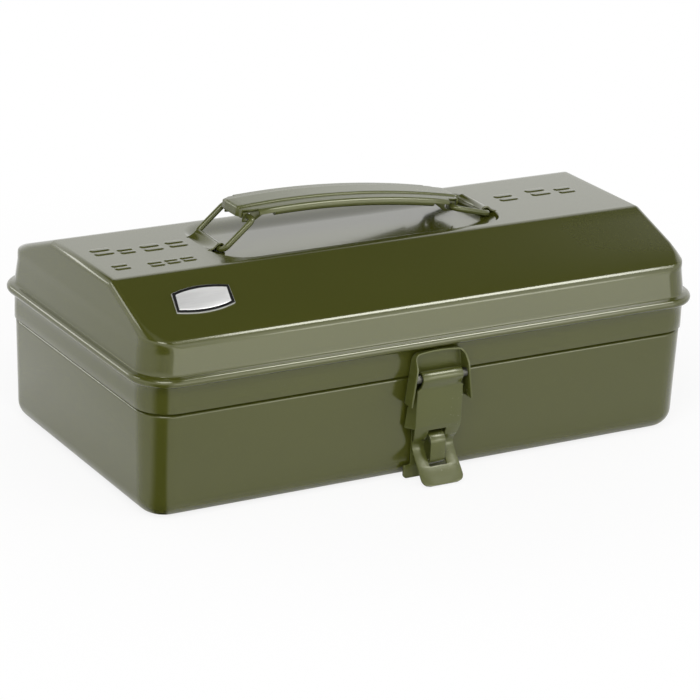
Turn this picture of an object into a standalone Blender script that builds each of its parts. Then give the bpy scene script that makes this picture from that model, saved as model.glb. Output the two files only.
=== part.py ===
"""Small sheet-steel tool box with a gabled lid, a hasp latch, two butt hinges and a rocking strap handle.

Units are metres, +Z is up, +X runs along the length to the right and +Y to the back, where the hinges are.
The origin is the middle of the base, on the surface that the box stands on.
"""
import math

import bmesh
import bpy
from mathutils import Matrix, Vector

OBJECT_NAME = "tool_box"

# Sheets and clearances
BODY_SHEET = 0.0008        # wall of the drawn tray and of the lid
FITTING_SHEET = 0.0009     # hinges, latch bracket, handle tunnels
LEVER_SHEET = 0.0009
SEAT_GAP = 0.0003          # between pieces that touch
RUNNING_GAP = 0.0003       # round a pin, per side
CUT_OVERRUN = 0.002        # how far a cutter runs past the sheet it cuts
MERGE_DISTANCE = 0.000001

# Tray
TRAY_HALF_LENGTH = 0.1408  # outside, at the shoulder
TRAY_HALF_DEPTH = 0.0753
TRAY_CORNER = 0.0145       # plan radius of the upright corners
TRAY_DRAFT = 0.0013        # how much narrower each side is at the floor
TRAY_FLOOR_RADIUS = 0.0088
SHOULDER_HEIGHT = 0.0480   # where the wall steps in under the lid's skirt
SHOULDER_RISE = 0.0018
COLLAR_INSET = 0.0014
COLLAR_HEIGHT = 0.0160     # from the shoulder to the rim
RIM_BEND = 0.0014
RIM_FLANGE = 0.0030        # the turned-in edge round the mouth

# Lid; its heights are measured from the tray's shoulder
SKIRT_RISE = 0.0026        # foot of the skirt
SKIRT_PROUD = 0.0007       # how far the skirt stands outside the tray
BEAD_RISE = 0.0165         # middle of the stiffening bead
BEAD_RADIUS = 0.0021
BEAD_REACH = 0.0036        # how far the bead stands out of the skirt
BEAD_FILLET = 0.0010
WALL_DRAFT = 0.0010        # how much narrower the lid's wall is at the eave
EAVE_RISE = 0.0331         # where the upright wall and the slope would meet
EAVE_RADIUS = 0.0052
GABLE_RISE = 0.01615       # from there to the flat on the top
TOP_DEPTH_SHARE = 0.401    # the flat's depth as a share of the tray's
RIDGE_RADIUS = 0.0080      # bend between the slope and the top flat
GABLE_EDGE = 0.0032        # radius where the end faces meet slope and top
GABLE_DRAFT = 0.0013

# Dish pressed in the top, and the handle's place over it
HANDLE_SHIFT = -0.0050     # the handle sits this far left of the middle
DISH_END_ROOM = 0.0050     # dish beyond the middle of each tunnel
DISH_EDGE_FLAT = 0.0027    # flat left in front of the dish and behind it
DISH_SIDE_ROOM = 0.0090    # level floor beside the handle's wires
DISH_CORNER = 0.0120
DISH_DEPTH = 0.0016
DISH_SLOPE_X = 0.0018

# Hinges
HINGE_STANDS_OFF = 0.0025  # the axis behind the tray's wall
HINGE_PLACE_SHARE = 0.568  # middle of each hinge as a share of the half length
HINGE_LENGTH = 0.0400
HINGE_KNUCKLES = 5
HINGE_RADIUS = 0.0023
HINGE_PIN_RADIUS = 0.0012
HINGE_PIN_HEAD = 0.0016
HINGE_HEAD_LENGTH = 0.0008
HINGE_LEAF_DOWN = 0.0125   # how far the tray's leaf reaches below the axis
HINGE_LEAF_UP = 0.0118     # how far the lid's leaf reaches above it
LEAF_CORNER = 0.0020
TAB_INSET = 0.0002         # a knuckle's tab is this much narrower than the knuckle, each side

# Rivets
RIVET_SHANK = 0.0015
RIVET_HEAD = 0.0027
RIVET_DOME = 0.0010
RIVET_TAIL = 0.0023
RIVET_TAIL_THICK = 0.0007
HINGE_RIVET_SPAN = 0.0250
HINGE_RIVET_DROP = 0.0078

# Latch bracket on the lid
BRACKET_HANGS = 0.0104     # its foot below the shoulder
BRACKET_UNDER_BEAD = 0.0028
BRACKET_FOOT_HALF = 0.0160
BRACKET_TOP_HALF = 0.0133
BRACKET_CORNER = 0.0036
BRACKET_CORNER_END = 84.0  # degrees, where the corner runs into the arched top
BRACKET_ARCH = 0.0006
BRACKET_EAR = 0.0074       # depth of the ears
BRACKET_BROW = 0.0034      # depth of the flange over the top
BRACKET_BROW_RUN = 0.0075  # height over which the brow grows into the ears
LATCH_PIN_RISE = 0.0015    # above the shoulder
LATCH_PIN_STANDS_OFF = 0.0048
LATCH_PIN_RADIUS = 0.0020

# Latch lever; its low heights are shares of the shoulder's height
LEVER_HALF = 0.0120
KNUCKLE_HALF = 0.0103
LEVER_STANDS_OFF = 0.0058  # outer face of the upright plate in front of the skirt
LEVER_NECK_DROP = 0.0028   # top of the full width below the shoulder
LEVER_FOOT_SHARE = 0.558   # where the plate starts to curve in
LEVER_WAIST_SHARE = 0.3125
LEVER_WAIST_HALF = 0.0106
LEVER_WAIST_INSET = 0.0041  # how far the waist curves in behind the plate
LEVER_TAIL_SHARE = 0.0167
LEVER_TAIL_HALF = 0.0108
LEVER_TAIL_FLARE = 0.0075  # how far the tail stands out in front of the plate
LEVER_TAIL_CORNER = 0.0038
LEVER_BOW_SHARES = (0.33, 0.25)  # bow of the tail: inwards and upwards from its end to the waist
LEVER_ROLL = (-48.0, 250.0)  # degrees, from the plate round the pin
FLANGE_TOP_DROP = 0.0044
FLANGE_STEP_DROP = 0.0115  # above this the flange is shallower, inside the bracket
FLANGE_FOOT_SHARE = 0.531
FLANGE_DEPTH_HIGH = 0.0040
FLANGE_DEPTH_LOW = 0.0050
SLOT_HALF = 0.0046
SLOT_TOP_SHARE = 0.504
SLOT_FOOT_SHARE = 0.158

# Latch catch on the tray; its heights are shares of the shoulder's height
CATCH_HALF = 0.0104
CATCH_CORNER = 0.0040
CATCH_TOP_SHARE = 0.708
CATCH_RIVET_SHARE = 0.617
CATCH_STEP_SHARE = 0.146   # top of the wider foot
CATCH_FOOT_SHARE = 0.0125
CATCH_FOOT_HALF = 0.0139
CATCH_FOOT_CORNER = 0.0020
CATCH_STEP_CORNER = 0.0009
CATCH_SHEET = 0.0010
LOOP_HALF = 0.0040
LOOP_TOP_SHARE = 0.4625
LOOP_FOOT_SHARE = 0.146
LOOP_PROUD = 0.0008        # how far the staple stands out of the lever's plate
LOOP_CORNER = 0.0044
CATCH_RIVET_X = 0.0072

# Handle
WIRE_RADIUS = 0.0014
LINK_SPAN = 0.1400         # between the two tunnels
LINK_LENGTH = 0.0195       # from the tunnel's bar to the wire's tips
LINK_RAISED = 40.5         # degrees above level: the left wire as the handle lies
LINK_LOWERED = 14.6        # degrees above level: the right wire as the handle lies
WIRE_HALF = 0.0136         # the wire's legs from the middle
WIRE_BEND = 0.0030
TIP_BEND = 0.0024
TIP_REACH = 0.0070         # how near the middle the wire's turned-in tips end
TUNNEL_HALF = 0.0104
GRIP_SHEET = 0.0008
GRIP_CROWN = 0.0082        # top of the grip over the line through its pivots
GRIP_RISE = 0.0041         # the crown's height over the ends
GRIP_OVERHANG = 0.0050     # grip beyond each pivot
GRIP_RIB_HALF = 0.0052     # flat top of the raised middle strip
GRIP_RIB_FOOT = 0.0065
GRIP_RIB_HEIGHT = 0.0009
GRIP_FLAT_HALF = 0.0100
GRIP_EDGE_HALF = 0.0109
GRIP_EDGE_DROP = 0.0001
CURL_CENTRE_Y = 0.0115
CURL_CENTRE_DROP = 0.0030
CURL_RADIUS = 0.0020
CURL_START = 100.0         # degrees
CURL_TURN = 285.0          # degrees of roll
CURL_SHARE = 0.792         # length of the rolled edges as a share of the distance between the pivots
GRIP_END_DROP = 0.0046     # the turned-down ends
GRIP_END_BEND = 0.0015
GRIP_END_TURN = 80.0       # degrees
YOKE_SHEET = 0.0009
YOKE_HALF = 0.0088         # outer faces of the ears under the grip
YOKE_LENGTH = 0.0054
YOKE_BELOW = 0.0026        # ear below the tip's axis
OPEN_PIVOT_PLAY = 0.0012   # the right pivot's slot: the wire tips wander this far as the handle rocks

# Fineness
CORNER_STEPS = 5
BEND_STEPS = 4
BEAD_STEPS = 6
DISH_STEPS = 4
ROUND_SIDES = 20
RIVET_SIDES = 16
WIRE_SIDES_RESOLUTION = 2
ARC_STEPS = 5
ROLL_STEPS = 12
GRIP_STATIONS = 12
GRIP_END_STEPS = 2
CURL_STEPS = 10
SMOOTH_ANGLE = 32.0

# Places worked out from the sizes above
RIM_HEIGHT = SHOULDER_HEIGHT + COLLAR_HEIGHT
SKIRT_HALF_LENGTH = TRAY_HALF_LENGTH + SKIRT_PROUD
SKIRT_HALF_DEPTH = TRAY_HALF_DEPTH + SKIRT_PROUD
SKIRT_CORNER = TRAY_CORNER + SKIRT_PROUD
SKIRT_FOOT = SHOULDER_HEIGHT + SKIRT_RISE
BEAD_HEIGHT = SHOULDER_HEIGHT + BEAD_RISE
EAVE_HEIGHT = SHOULDER_HEIGHT + EAVE_RISE
TOP_HEIGHT = EAVE_HEIGHT + GABLE_RISE
TOP_HALF_DEPTH = TRAY_HALF_DEPTH * TOP_DEPTH_SHARE
DISH_HALF_LENGTH = LINK_SPAN / 2 + DISH_END_ROOM
DISH_HALF_DEPTH = TOP_HALF_DEPTH - DISH_EDGE_FLAT
DISH_SLOPE_Y = DISH_HALF_DEPTH - WIRE_HALF - WIRE_RADIUS - DISH_SIDE_ROOM
DISH_FLOOR = TOP_HEIGHT - DISH_DEPTH
HINGE_AXIS_Y = TRAY_HALF_DEPTH + HINGE_STANDS_OFF
HINGE_AXIS_Z = SHOULDER_HEIGHT
HINGE_PLACE_X = TRAY_HALF_LENGTH * HINGE_PLACE_SHARE
BRACKET_FOOT = SHOULDER_HEIGHT - BRACKET_HANGS
BRACKET_TOP = BEAD_HEIGHT - BRACKET_UNDER_BEAD
LATCH_PIN_Z = SHOULDER_HEIGHT + LATCH_PIN_RISE
LATCH_PIN_Y = -SKIRT_HALF_DEPTH - LATCH_PIN_STANDS_OFF
LEVER_FRONT = -SKIRT_HALF_DEPTH - LEVER_STANDS_OFF
LEVER_NECK = SHOULDER_HEIGHT - LEVER_NECK_DROP
LEVER_PLATE_FOOT = SHOULDER_HEIGHT * LEVER_FOOT_SHARE
LEVER_WAIST_Y = LEVER_FRONT + LEVER_WAIST_INSET
LEVER_WAIST_Z = SHOULDER_HEIGHT * LEVER_WAIST_SHARE
LEVER_TAIL_Y = LEVER_FRONT - LEVER_TAIL_FLARE
LEVER_TAIL_Z = SHOULDER_HEIGHT * LEVER_TAIL_SHARE
FLANGE_TOP = SHOULDER_HEIGHT - FLANGE_TOP_DROP
FLANGE_STEP = SHOULDER_HEIGHT - FLANGE_STEP_DROP
FLANGE_FOOT = SHOULDER_HEIGHT * FLANGE_FOOT_SHARE
SLOT_TOP = SHOULDER_HEIGHT * SLOT_TOP_SHARE
SLOT_FOOT = SHOULDER_HEIGHT * SLOT_FOOT_SHARE
CATCH_TOP = SHOULDER_HEIGHT * CATCH_TOP_SHARE
CATCH_RIVET_Z = SHOULDER_HEIGHT * CATCH_RIVET_SHARE
CATCH_STEP = SHOULDER_HEIGHT * CATCH_STEP_SHARE
CATCH_FOOT = SHOULDER_HEIGHT * CATCH_FOOT_SHARE
LOOP_TOP = SHOULDER_HEIGHT * LOOP_TOP_SHARE
LOOP_FOOT = SHOULDER_HEIGHT * LOOP_FOOT_SHARE
LOOP_FRONT = LEVER_FRONT - LOOP_PROUD
TUNNEL_INNER = WIRE_RADIUS + RUNNING_GAP
TUNNEL_RADIUS = TUNNEL_INNER + FITTING_SHEET
LINK_Z = DISH_FLOOR + RUNNING_GAP + WIRE_RADIUS
LINK_LEFT_X = HANDLE_SHIFT - LINK_SPAN / 2
LINK_RIGHT_X = HANDLE_SHIFT + LINK_SPAN / 2
KNUCKLE_RADIUS = LATCH_PIN_RADIUS + RUNNING_GAP + LEVER_SHEET

collections = {}
materials = {}


def clear_scene():
    for thing in list(bpy.data.objects):
        bpy.data.objects.remove(thing, do_unlink=True)


def make_collections():
    for key, name in (("parts", OBJECT_NAME), ("cutters", OBJECT_NAME + "_cutters")):
        collections[key] = bpy.data.collections.new(name)
        bpy.context.scene.collection.children.link(collections[key])


def paint(name, colour, roughness, metallic=0.0):
    material = bpy.data.materials.new(name)
    material.use_nodes = True
    shader = material.node_tree.nodes["Principled BSDF"]
    shader.inputs["Base Color"].default_value = (*colour, 1.0)
    shader.inputs["Roughness"].default_value = roughness
    shader.inputs["Metallic"].default_value = metallic
    materials[name] = material


def make_materials():
    paint("olive_paint", (0.125, 0.135, 0.062), 0.28)
    paint("olive_paint_fittings", (0.118, 0.130, 0.062), 0.32)
    paint("zinc_plate", (0.52, 0.52, 0.50), 0.35, 1.0)


def add_object(name, mesh, material="olive_paint", where="parts"):
    thing = bpy.data.objects.new(name, mesh)
    collections[where].objects.link(thing)
    if where == "parts":
        mesh.materials.append(materials[material])
    else:
        thing.hide_render = True
        thing.display_type = "WIRE"
    return thing


def finish_bmesh(name, bm, material="olive_paint", where="parts", face_out=True):
    if face_out:
        bmesh.ops.recalc_face_normals(bm, faces=bm.faces)
    mesh = bpy.data.meshes.new(name)
    bm.to_mesh(mesh)
    bm.free()
    return add_object(name, mesh, material, where)


def smooth(thing):
    thing.data.shade_smooth()
    thing.data.set_sharp_from_angle(angle=math.radians(SMOOTH_ANGLE))


def thicken(thing, thickness, offset=-1.0):
    shell = thing.modifiers.new("sheet", "SOLIDIFY")
    shell.thickness = thickness
    shell.offset = offset
    shell.use_even_offset = True
    return shell


def combine(thing, other, operation):
    step = thing.modifiers.new(operation.lower(), "BOOLEAN")
    step.operation = operation
    step.solver = "EXACT"
    step.object = other


def bake(thing):
    """Replace an object's mesh by what its modifiers make of it."""
    depsgraph = bpy.context.evaluated_depsgraph_get()
    mesh = bpy.data.meshes.new_from_object(thing.evaluated_get(depsgraph))
    thing.modifiers.clear()
    thing.data = mesh


def rod(name, radius, start, end, where="cutters", material="olive_paint", sides=ROUND_SIDES):
    """A round bar from one point to another."""
    start = Vector(start)
    end = Vector(end)
    bm = bmesh.new()
    turn = (end - start).to_track_quat("Z", "Y").to_matrix().to_4x4()
    place = Matrix.Translation((start + end) / 2) @ turn
    bmesh.ops.create_cone(bm, cap_ends=True, segments=sides, radius1=radius, radius2=radius,
                          depth=(end - start).length, matrix=place)
    return finish_bmesh(name, bm, material, where)


def flat_piece(name, outline, y, thickness, material="olive_paint", where="parts"):
    """A flat piece cut to an outline of x and z, its thickness laid along Y from y."""
    bm = bmesh.new()
    face = bm.faces.new([bm.verts.new((x, y, z)) for x, z in outline])
    grown = bmesh.ops.extrude_face_region(bm, geom=[face])
    moved = [item for item in grown["geom"] if isinstance(item, bmesh.types.BMVert)]
    bmesh.ops.translate(bm, verts=moved, vec=(0.0, thickness, 0.0))
    return finish_bmesh(name, bm, material, where)


def sheet_piece(name, bm, outward, thickness, material="olive_paint_fittings", where="parts"):
    """Thicken an open surface to its inside; the face farthest along `outward` tells the outside."""
    outward = Vector(outward)
    bmesh.ops.recalc_face_normals(bm, faces=bm.faces)
    outer = max(bm.faces, key=lambda face: face.calc_center_median().dot(outward))
    if outer.normal.dot(outward) < 0:
        bmesh.ops.reverse_faces(bm, faces=bm.faces)
    piece = finish_bmesh(name, bm, material, where, face_out=False)
    thicken(piece, thickness)
    return piece


def strip(bm, section, low, high):
    """A strip along X or Y: two rows of points joined by faces."""
    rows = [(bm.verts.new(low(a, b)), bm.verts.new(high(a, b))) for a, b in section]
    for lower, upper in zip(rows, rows[1:]):
        bm.faces.new((lower[0], lower[1], upper[1], upper[0]))


def ease(share):
    """Soft step from 0 to 1."""
    return share * share * (3 - 2 * share)


def within(value):
    return max(0.0, min(1.0, value))


def arc(centre, radius, start, end, steps):
    """Points on an arc in a plane, angles in degrees."""
    points = []
    for step in range(steps + 1):
        angle = math.radians(start + (end - start) * step / steps)
        points.append((centre[0] + radius * math.cos(angle), centre[1] + radius * math.sin(angle)))
    return points


def rounded_ring(half_x, half_y, round_x, round_y, height, start=0.0):
    """A level rounded rectangle; its corner arcs may begin late, where an end edge is rounded over."""
    points = []
    for corner in range(4):
        for step in range(CORNER_STEPS + 1):
            share = step / CORNER_STEPS
            if corner % 2:
                share = 1 - share
            angle = math.radians(start + (90 - start) * share)
            side_x = 1 if corner in (0, 3) else -1
            side_y = 1 if corner in (0, 1) else -1
            x = half_x - round_x + round_x * math.cos(angle)
            y = half_y - round_y + round_y * math.sin(angle)
            points.append(Vector((side_x * x, side_y * y, height)))
    return points


def loft(bm, rings):
    """Join rings of equal count, each to the next, and give back their vertices."""
    rows = [[bm.verts.new(point) for point in ring] for ring in rings]
    for lower, upper in zip(rows, rows[1:]):
        count = len(lower)
        for index in range(count):
            after = (index + 1) % count
            bm.faces.new((lower[index], lower[after], upper[after], upper[index]))
    return rows


# Tray

def tray_outline(height):
    """Half sizes and corner of the tray's outside at a height, floor bend and shoulder left out."""
    share = 1 - min(height, SHOULDER_HEIGHT) / SHOULDER_HEIGHT
    inset = TRAY_DRAFT * share
    return TRAY_HALF_LENGTH - inset, TRAY_HALF_DEPTH - inset, TRAY_CORNER - inset


def inset_ring(outline, inset, height):
    half_x, half_y, corner = outline
    return rounded_ring(half_x - inset, half_y - inset, corner - inset, corner - inset, height)


def build_tray():
    rings = []
    for step in range(ARC_STEPS + 1):
        angle = math.radians(90 * step / ARC_STEPS)
        height = TRAY_FLOOR_RADIUS * (1 - math.cos(angle))
        inset = TRAY_FLOOR_RADIUS * (1 - math.sin(angle))
        rings.append(inset_ring(tray_outline(TRAY_FLOOR_RADIUS), inset, height))
    shoulder = tray_outline(SHOULDER_HEIGHT)
    rings.append(inset_ring(shoulder, 0.0, SHOULDER_HEIGHT - SHOULDER_RISE / 4))
    for step in range(1, BEND_STEPS):
        share = step / BEND_STEPS
        sweep = (1 - math.cos(math.pi * share)) / 2
        rings.append(inset_ring(shoulder, COLLAR_INSET * sweep, SHOULDER_HEIGHT + SHOULDER_RISE * share))
    rings.append(inset_ring(shoulder, COLLAR_INSET, SHOULDER_HEIGHT + SHOULDER_RISE))
    for step in range(BEND_STEPS + 1):
        angle = math.radians(90 * step / BEND_STEPS)
        height = RIM_HEIGHT - RIM_BEND * (1 - math.sin(angle))
        rings.append(inset_ring(shoulder, COLLAR_INSET + RIM_BEND * (1 - math.cos(angle)), height))
    rings.append(inset_ring(shoulder, COLLAR_INSET + RIM_FLANGE, RIM_HEIGHT))
    bm = bmesh.new()
    rows = loft(bm, rings)
    bm.faces.new(list(reversed(rows[0])))
    tray = finish_bmesh("body_tray", bm, face_out=False)
    thicken(tray, BODY_SHEET)
    for side in (-1, 1):
        for x in hinge_rivet_places(side):
            hole = rod("hinge_rivet_hole", RIVET_SHANK + SEAT_GAP,
                       (x, TRAY_HALF_DEPTH - TRAY_DRAFT - BODY_SHEET - CUT_OVERRUN, HINGE_AXIS_Z - HINGE_RIVET_DROP),
                       (x, TRAY_HALF_DEPTH + CUT_OVERRUN, HINGE_AXIS_Z - HINGE_RIVET_DROP))
            combine(tray, hole, "DIFFERENCE")
        hole = rod("catch_rivet_hole", RIVET_SHANK + SEAT_GAP,
                   (side * CATCH_RIVET_X, -TRAY_HALF_DEPTH - CUT_OVERRUN, CATCH_RIVET_Z),
                   (side * CATCH_RIVET_X, -TRAY_HALF_DEPTH + TRAY_DRAFT + BODY_SHEET + CUT_OVERRUN, CATCH_RIVET_Z))
        combine(tray, hole, "DIFFERENCE")
    bake(tray)
    smooth(tray)
    return tray


# Lid

def slope_angle():
    return math.atan2(TOP_HEIGHT - EAVE_HEIGHT, SKIRT_HALF_DEPTH - WALL_DRAFT - TOP_HALF_DEPTH)


def lid_front_line():
    """Half depth and height of the lid's outside from the top of the bead up to the top flat."""
    slope = slope_angle()
    eave_y = SKIRT_HALF_DEPTH - WALL_DRAFT
    tangent = EAVE_RADIUS * math.tan((math.pi / 2 - slope) / 2)
    centre = (eave_y - EAVE_RADIUS, EAVE_HEIGHT - tangent)
    line = arc(centre, EAVE_RADIUS, 0.0, 90 - math.degrees(slope), BEND_STEPS)
    ridge_tangent = RIDGE_RADIUS * math.tan(slope / 2)
    ridge_centre = (TOP_HALF_DEPTH - ridge_tangent, TOP_HEIGHT - RIDGE_RADIUS)
    start = 90 - math.degrees(slope)
    ridge = arc(ridge_centre, RIDGE_RADIUS, start, 90.0, BEND_STEPS)
    last_y, last_z = line[-1]
    first_y, first_z = ridge[0]
    gable_start = TOP_HEIGHT - GABLE_EDGE
    for share in (0.5, 1.0):
        height = last_z + (gable_start - last_z) * share
        line.append((last_y + (first_y - last_y) * (height - last_z) / (first_z - last_z), height))
    last_y, last_z = line[-1]
    for step in range(1, BEND_STEPS):
        height = gable_start + GABLE_EDGE * math.sin(math.radians(90 * step / BEND_STEPS))
        if height < first_z:
            line.append((last_y + (first_y - last_y) * (height - last_z) / (first_z - last_z), height))
    return line + ridge


def lid_ring(half_y, height):
    """The lid's outline at a height above the bead."""
    wall_top = EAVE_HEIGHT - EAVE_RADIUS * math.tan((math.pi / 2 - slope_angle()) / 2)
    blend = ease(within((height - wall_top) / (EAVE_HEIGHT + EAVE_RADIUS / 2 - wall_top)))
    gable_share = within((height - wall_top) / (TOP_HEIGHT - wall_top))
    half_x = SKIRT_HALF_LENGTH - WALL_DRAFT - GABLE_DRAFT * gable_share
    round_x = SKIRT_CORNER + (GABLE_EDGE - SKIRT_CORNER) * blend
    round_y = SKIRT_CORNER + (GABLE_EDGE / math.sin(slope_angle()) - SKIRT_CORNER) * blend
    over = within((height - (TOP_HEIGHT - GABLE_EDGE)) / GABLE_EDGE)
    return rounded_ring(half_x, half_y, round_x, round_y, height, math.degrees(math.asin(over)))


def dish_ring(share, depth):
    """Edge of the dish at a share of the way down its slope."""
    half_x = DISH_HALF_LENGTH - DISH_SLOPE_X * share
    half_y = DISH_HALF_DEPTH - DISH_SLOPE_Y * share
    corner = DISH_CORNER - DISH_SLOPE_X * share
    ring = rounded_ring(half_x, half_y, corner, corner, TOP_HEIGHT - depth)
    return [point + Vector((HANDLE_SHIFT, 0.0, 0.0)) for point in ring]


def build_lid():
    skirt = (SKIRT_HALF_LENGTH, SKIRT_HALF_DEPTH, SKIRT_CORNER)
    rings = [inset_ring(skirt, 0.0, SKIRT_FOOT)]
    rings.append(inset_ring(skirt, 0.0, BEAD_HEIGHT - BEAD_RADIUS - BEAD_FILLET))
    for step in range(BEAD_STEPS + 1):
        angle = math.radians(-90 + 180 * step / BEAD_STEPS)
        reach = BEAD_REACH - BEAD_RADIUS + BEAD_RADIUS * math.cos(angle)
        rings.append(inset_ring(skirt, -reach, BEAD_HEIGHT + BEAD_RADIUS * math.sin(angle)))
    rings.append(inset_ring(skirt, 0.0, BEAD_HEIGHT + BEAD_RADIUS + BEAD_FILLET))
    for half_y, height in lid_front_line():
        rings.append(lid_ring(half_y, height))
    bm = bmesh.new()
    rows = loft(bm, rings)
    bmesh.ops.remove_doubles(bm, verts=rows[-1], dist=MERGE_DISTANCE)
    rim = [edge for edge in bm.edges if edge.is_boundary and edge.verts[0].co.z > EAVE_HEIGHT]
    dish_rings = []
    for step in range(DISH_STEPS + 1):
        share = step / DISH_STEPS
        dish_rings.append(dish_ring(share, DISH_DEPTH * ease(share)))
    dish = loft(bm, dish_rings)
    bm.faces.new(dish[-1])
    mouth = [edge for edge in bm.edges if edge.is_boundary and all(vert in dish[0] for vert in edge.verts)]
    bmesh.ops.triangle_fill(bm, edges=rim + mouth, use_beauty=True)
    lid = finish_bmesh("lid_shell", bm)
    thicken(lid, BODY_SHEET)
    bake(lid)
    smooth(lid)
    return lid


# Hinges

def hinge_rivet_places(side):
    return [side * HINGE_PLACE_X + end * HINGE_RIVET_SPAN / 2 for end in (-1, 1)]


def knuckle_spans(middle, odd):
    """Ends along X of every second knuckle of a hinge."""
    pitch = HINGE_LENGTH / HINGE_KNUCKLES
    spans = []
    for index in range(HINGE_KNUCKLES):
        if index % 2 == odd:
            start = middle - HINGE_LENGTH / 2 + pitch * index
            spans.append((start + SEAT_GAP / 2, start + pitch - SEAT_GAP / 2))
    return spans


def leaf_outline(middle, odd, root, far):
    """Flat of a leaf: tabs to its knuckles along the root edge, rounded corners at the far edge."""
    away = 1 if far > root else -1
    half = HINGE_LENGTH / 2 - SEAT_GAP / 2
    corner = arc((half - LEAF_CORNER, 0.0), LEAF_CORNER, 0.0, 90.0, BEND_STEPS)
    right = [(x, far - away * (LEAF_CORNER - rise)) for x, rise in corner]
    outline = [(half, root)] + right + [(-x, z) for x, z in reversed(right)] + [(-half, root)]
    tip = HINGE_AXIS_Z + away * TAB_INSET
    for start, end in knuckle_spans(0.0, odd):
        outline += [(start + TAB_INSET, root), (start + TAB_INSET, tip),
                    (end - TAB_INSET, tip), (end - TAB_INSET, root)]
    return [(middle + x, z) for x, z in outline]


def build_leaf(name, middle, odd, back, root, far):
    leaf = flat_piece(name, leaf_outline(middle, odd, root, far), back, FITTING_SHEET, "olive_paint_fittings")
    for start, end in knuckle_spans(middle, odd):
        barrel = rod("knuckle", HINGE_RADIUS, (start, HINGE_AXIS_Y, HINGE_AXIS_Z), (end, HINGE_AXIS_Y, HINGE_AXIS_Z))
        combine(leaf, barrel, "UNION")
    bore = rod("hinge_bore", HINGE_PIN_RADIUS + RUNNING_GAP,
               (middle - HINGE_LENGTH, HINGE_AXIS_Y, HINGE_AXIS_Z), (middle + HINGE_LENGTH, HINGE_AXIS_Y, HINGE_AXIS_Z))
    combine(leaf, bore, "DIFFERENCE")
    return leaf


def turned(name, profile, place, axis, material):
    """A turned piece: its profile of radius and distance along the axis, spun by a Screw modifier."""
    bm = bmesh.new()
    verts = [bm.verts.new((radius, 0.0, along)) for radius, along in profile]
    for first, second in zip(verts, verts[1:]):
        bm.edges.new((first, second))
    piece = finish_bmesh(name, bm, material, face_out=False)
    spin = piece.modifiers.new("turn", "SCREW")
    spin.steps = RIVET_SIDES
    spin.render_steps = RIVET_SIDES
    spin.use_merge_vertices = True
    spin.merge_threshold = MERGE_DISTANCE
    spin.use_normal_calculate = False
    piece.matrix_world = Matrix.Translation(Vector(place)) @ Vector(axis).to_track_quat("Z", "Y").to_matrix().to_4x4()
    bpy.context.view_layer.update()
    smooth(piece)
    return piece


def build_rivet(name, place, axis, grip):
    """A dome rivet: `place` is under the head, `axis` points out of the head, `grip` is the stack it holds."""
    dome = [(RIVET_HEAD * math.cos(angle), RIVET_DOME * math.sin(angle))
            for angle in (math.radians(90 - 90 * step / BEND_STEPS) for step in range(BEND_STEPS + 1))]
    dome[0] = (0.0, RIVET_DOME)
    profile = dome + [(RIVET_SHANK, 0.0), (RIVET_SHANK, -grip), (RIVET_TAIL, -grip),
                      (RIVET_TAIL, -grip - RIVET_TAIL_THICK), (0.0, -grip - RIVET_TAIL_THICK)]
    return turned(name, profile, place, axis, "olive_paint_fittings")


def build_hinge(side):
    word = "left" if side < 0 else "right"
    middle = side * HINGE_PLACE_X
    body_back = TRAY_HALF_DEPTH + SEAT_GAP
    lid_back = SKIRT_HALF_DEPTH + SEAT_GAP
    clear = HINGE_RADIUS + RUNNING_GAP + SEAT_GAP / 2
    body_leaf = build_leaf("hinge_leaf_body_" + word, middle, 0, body_back,
                           HINGE_AXIS_Z - clear, HINGE_AXIS_Z - HINGE_LEAF_DOWN)
    for x in hinge_rivet_places(side):
        hole = rod("leaf_rivet_hole", RIVET_SHANK + SEAT_GAP,
                   (x, body_back - CUT_OVERRUN, HINGE_AXIS_Z - HINGE_RIVET_DROP),
                   (x, body_back + FITTING_SHEET + CUT_OVERRUN, HINGE_AXIS_Z - HINGE_RIVET_DROP))
        combine(body_leaf, hole, "DIFFERENCE")
    lid_leaf = build_leaf("hinge_leaf_lid_" + word, middle, 1, lid_back,
                          HINGE_AXIS_Z + clear, HINGE_AXIS_Z + HINGE_LEAF_UP)
    for leaf in (body_leaf, lid_leaf):
        bake(leaf)
        smooth(leaf)
    half = HINGE_LENGTH / 2 + SEAT_GAP
    pin_profile = [(0.0, half + HINGE_HEAD_LENGTH), (HINGE_PIN_HEAD, half + HINGE_HEAD_LENGTH / 2),
                   (HINGE_PIN_HEAD, half), (HINGE_PIN_RADIUS, half), (HINGE_PIN_RADIUS, -half),
                   (HINGE_PIN_HEAD, -half), (HINGE_PIN_HEAD, -half - HINGE_HEAD_LENGTH / 2),
                   (0.0, -half - HINGE_HEAD_LENGTH)]
    pin = turned("hinge_pin_" + word, pin_profile, (middle, HINGE_AXIS_Y, HINGE_AXIS_Z), (1, 0, 0), "zinc_plate")
    rivets = []
    wall_inside = tray_outline(HINGE_AXIS_Z - HINGE_RIVET_DROP)[1] - BODY_SHEET
    for index, x in enumerate(hinge_rivet_places(side)):
        under_head = body_back + FITTING_SHEET + SEAT_GAP
        rivets.append(build_rivet("hinge_rivet_" + word + "_" + str(index + 1),
                                  (x, under_head, HINGE_AXIS_Z - HINGE_RIVET_DROP), (0, 1, 0),
                                  under_head - wall_inside + SEAT_GAP))
    return [body_leaf, pin] + rivets, [lid_leaf]


# Latch

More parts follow.
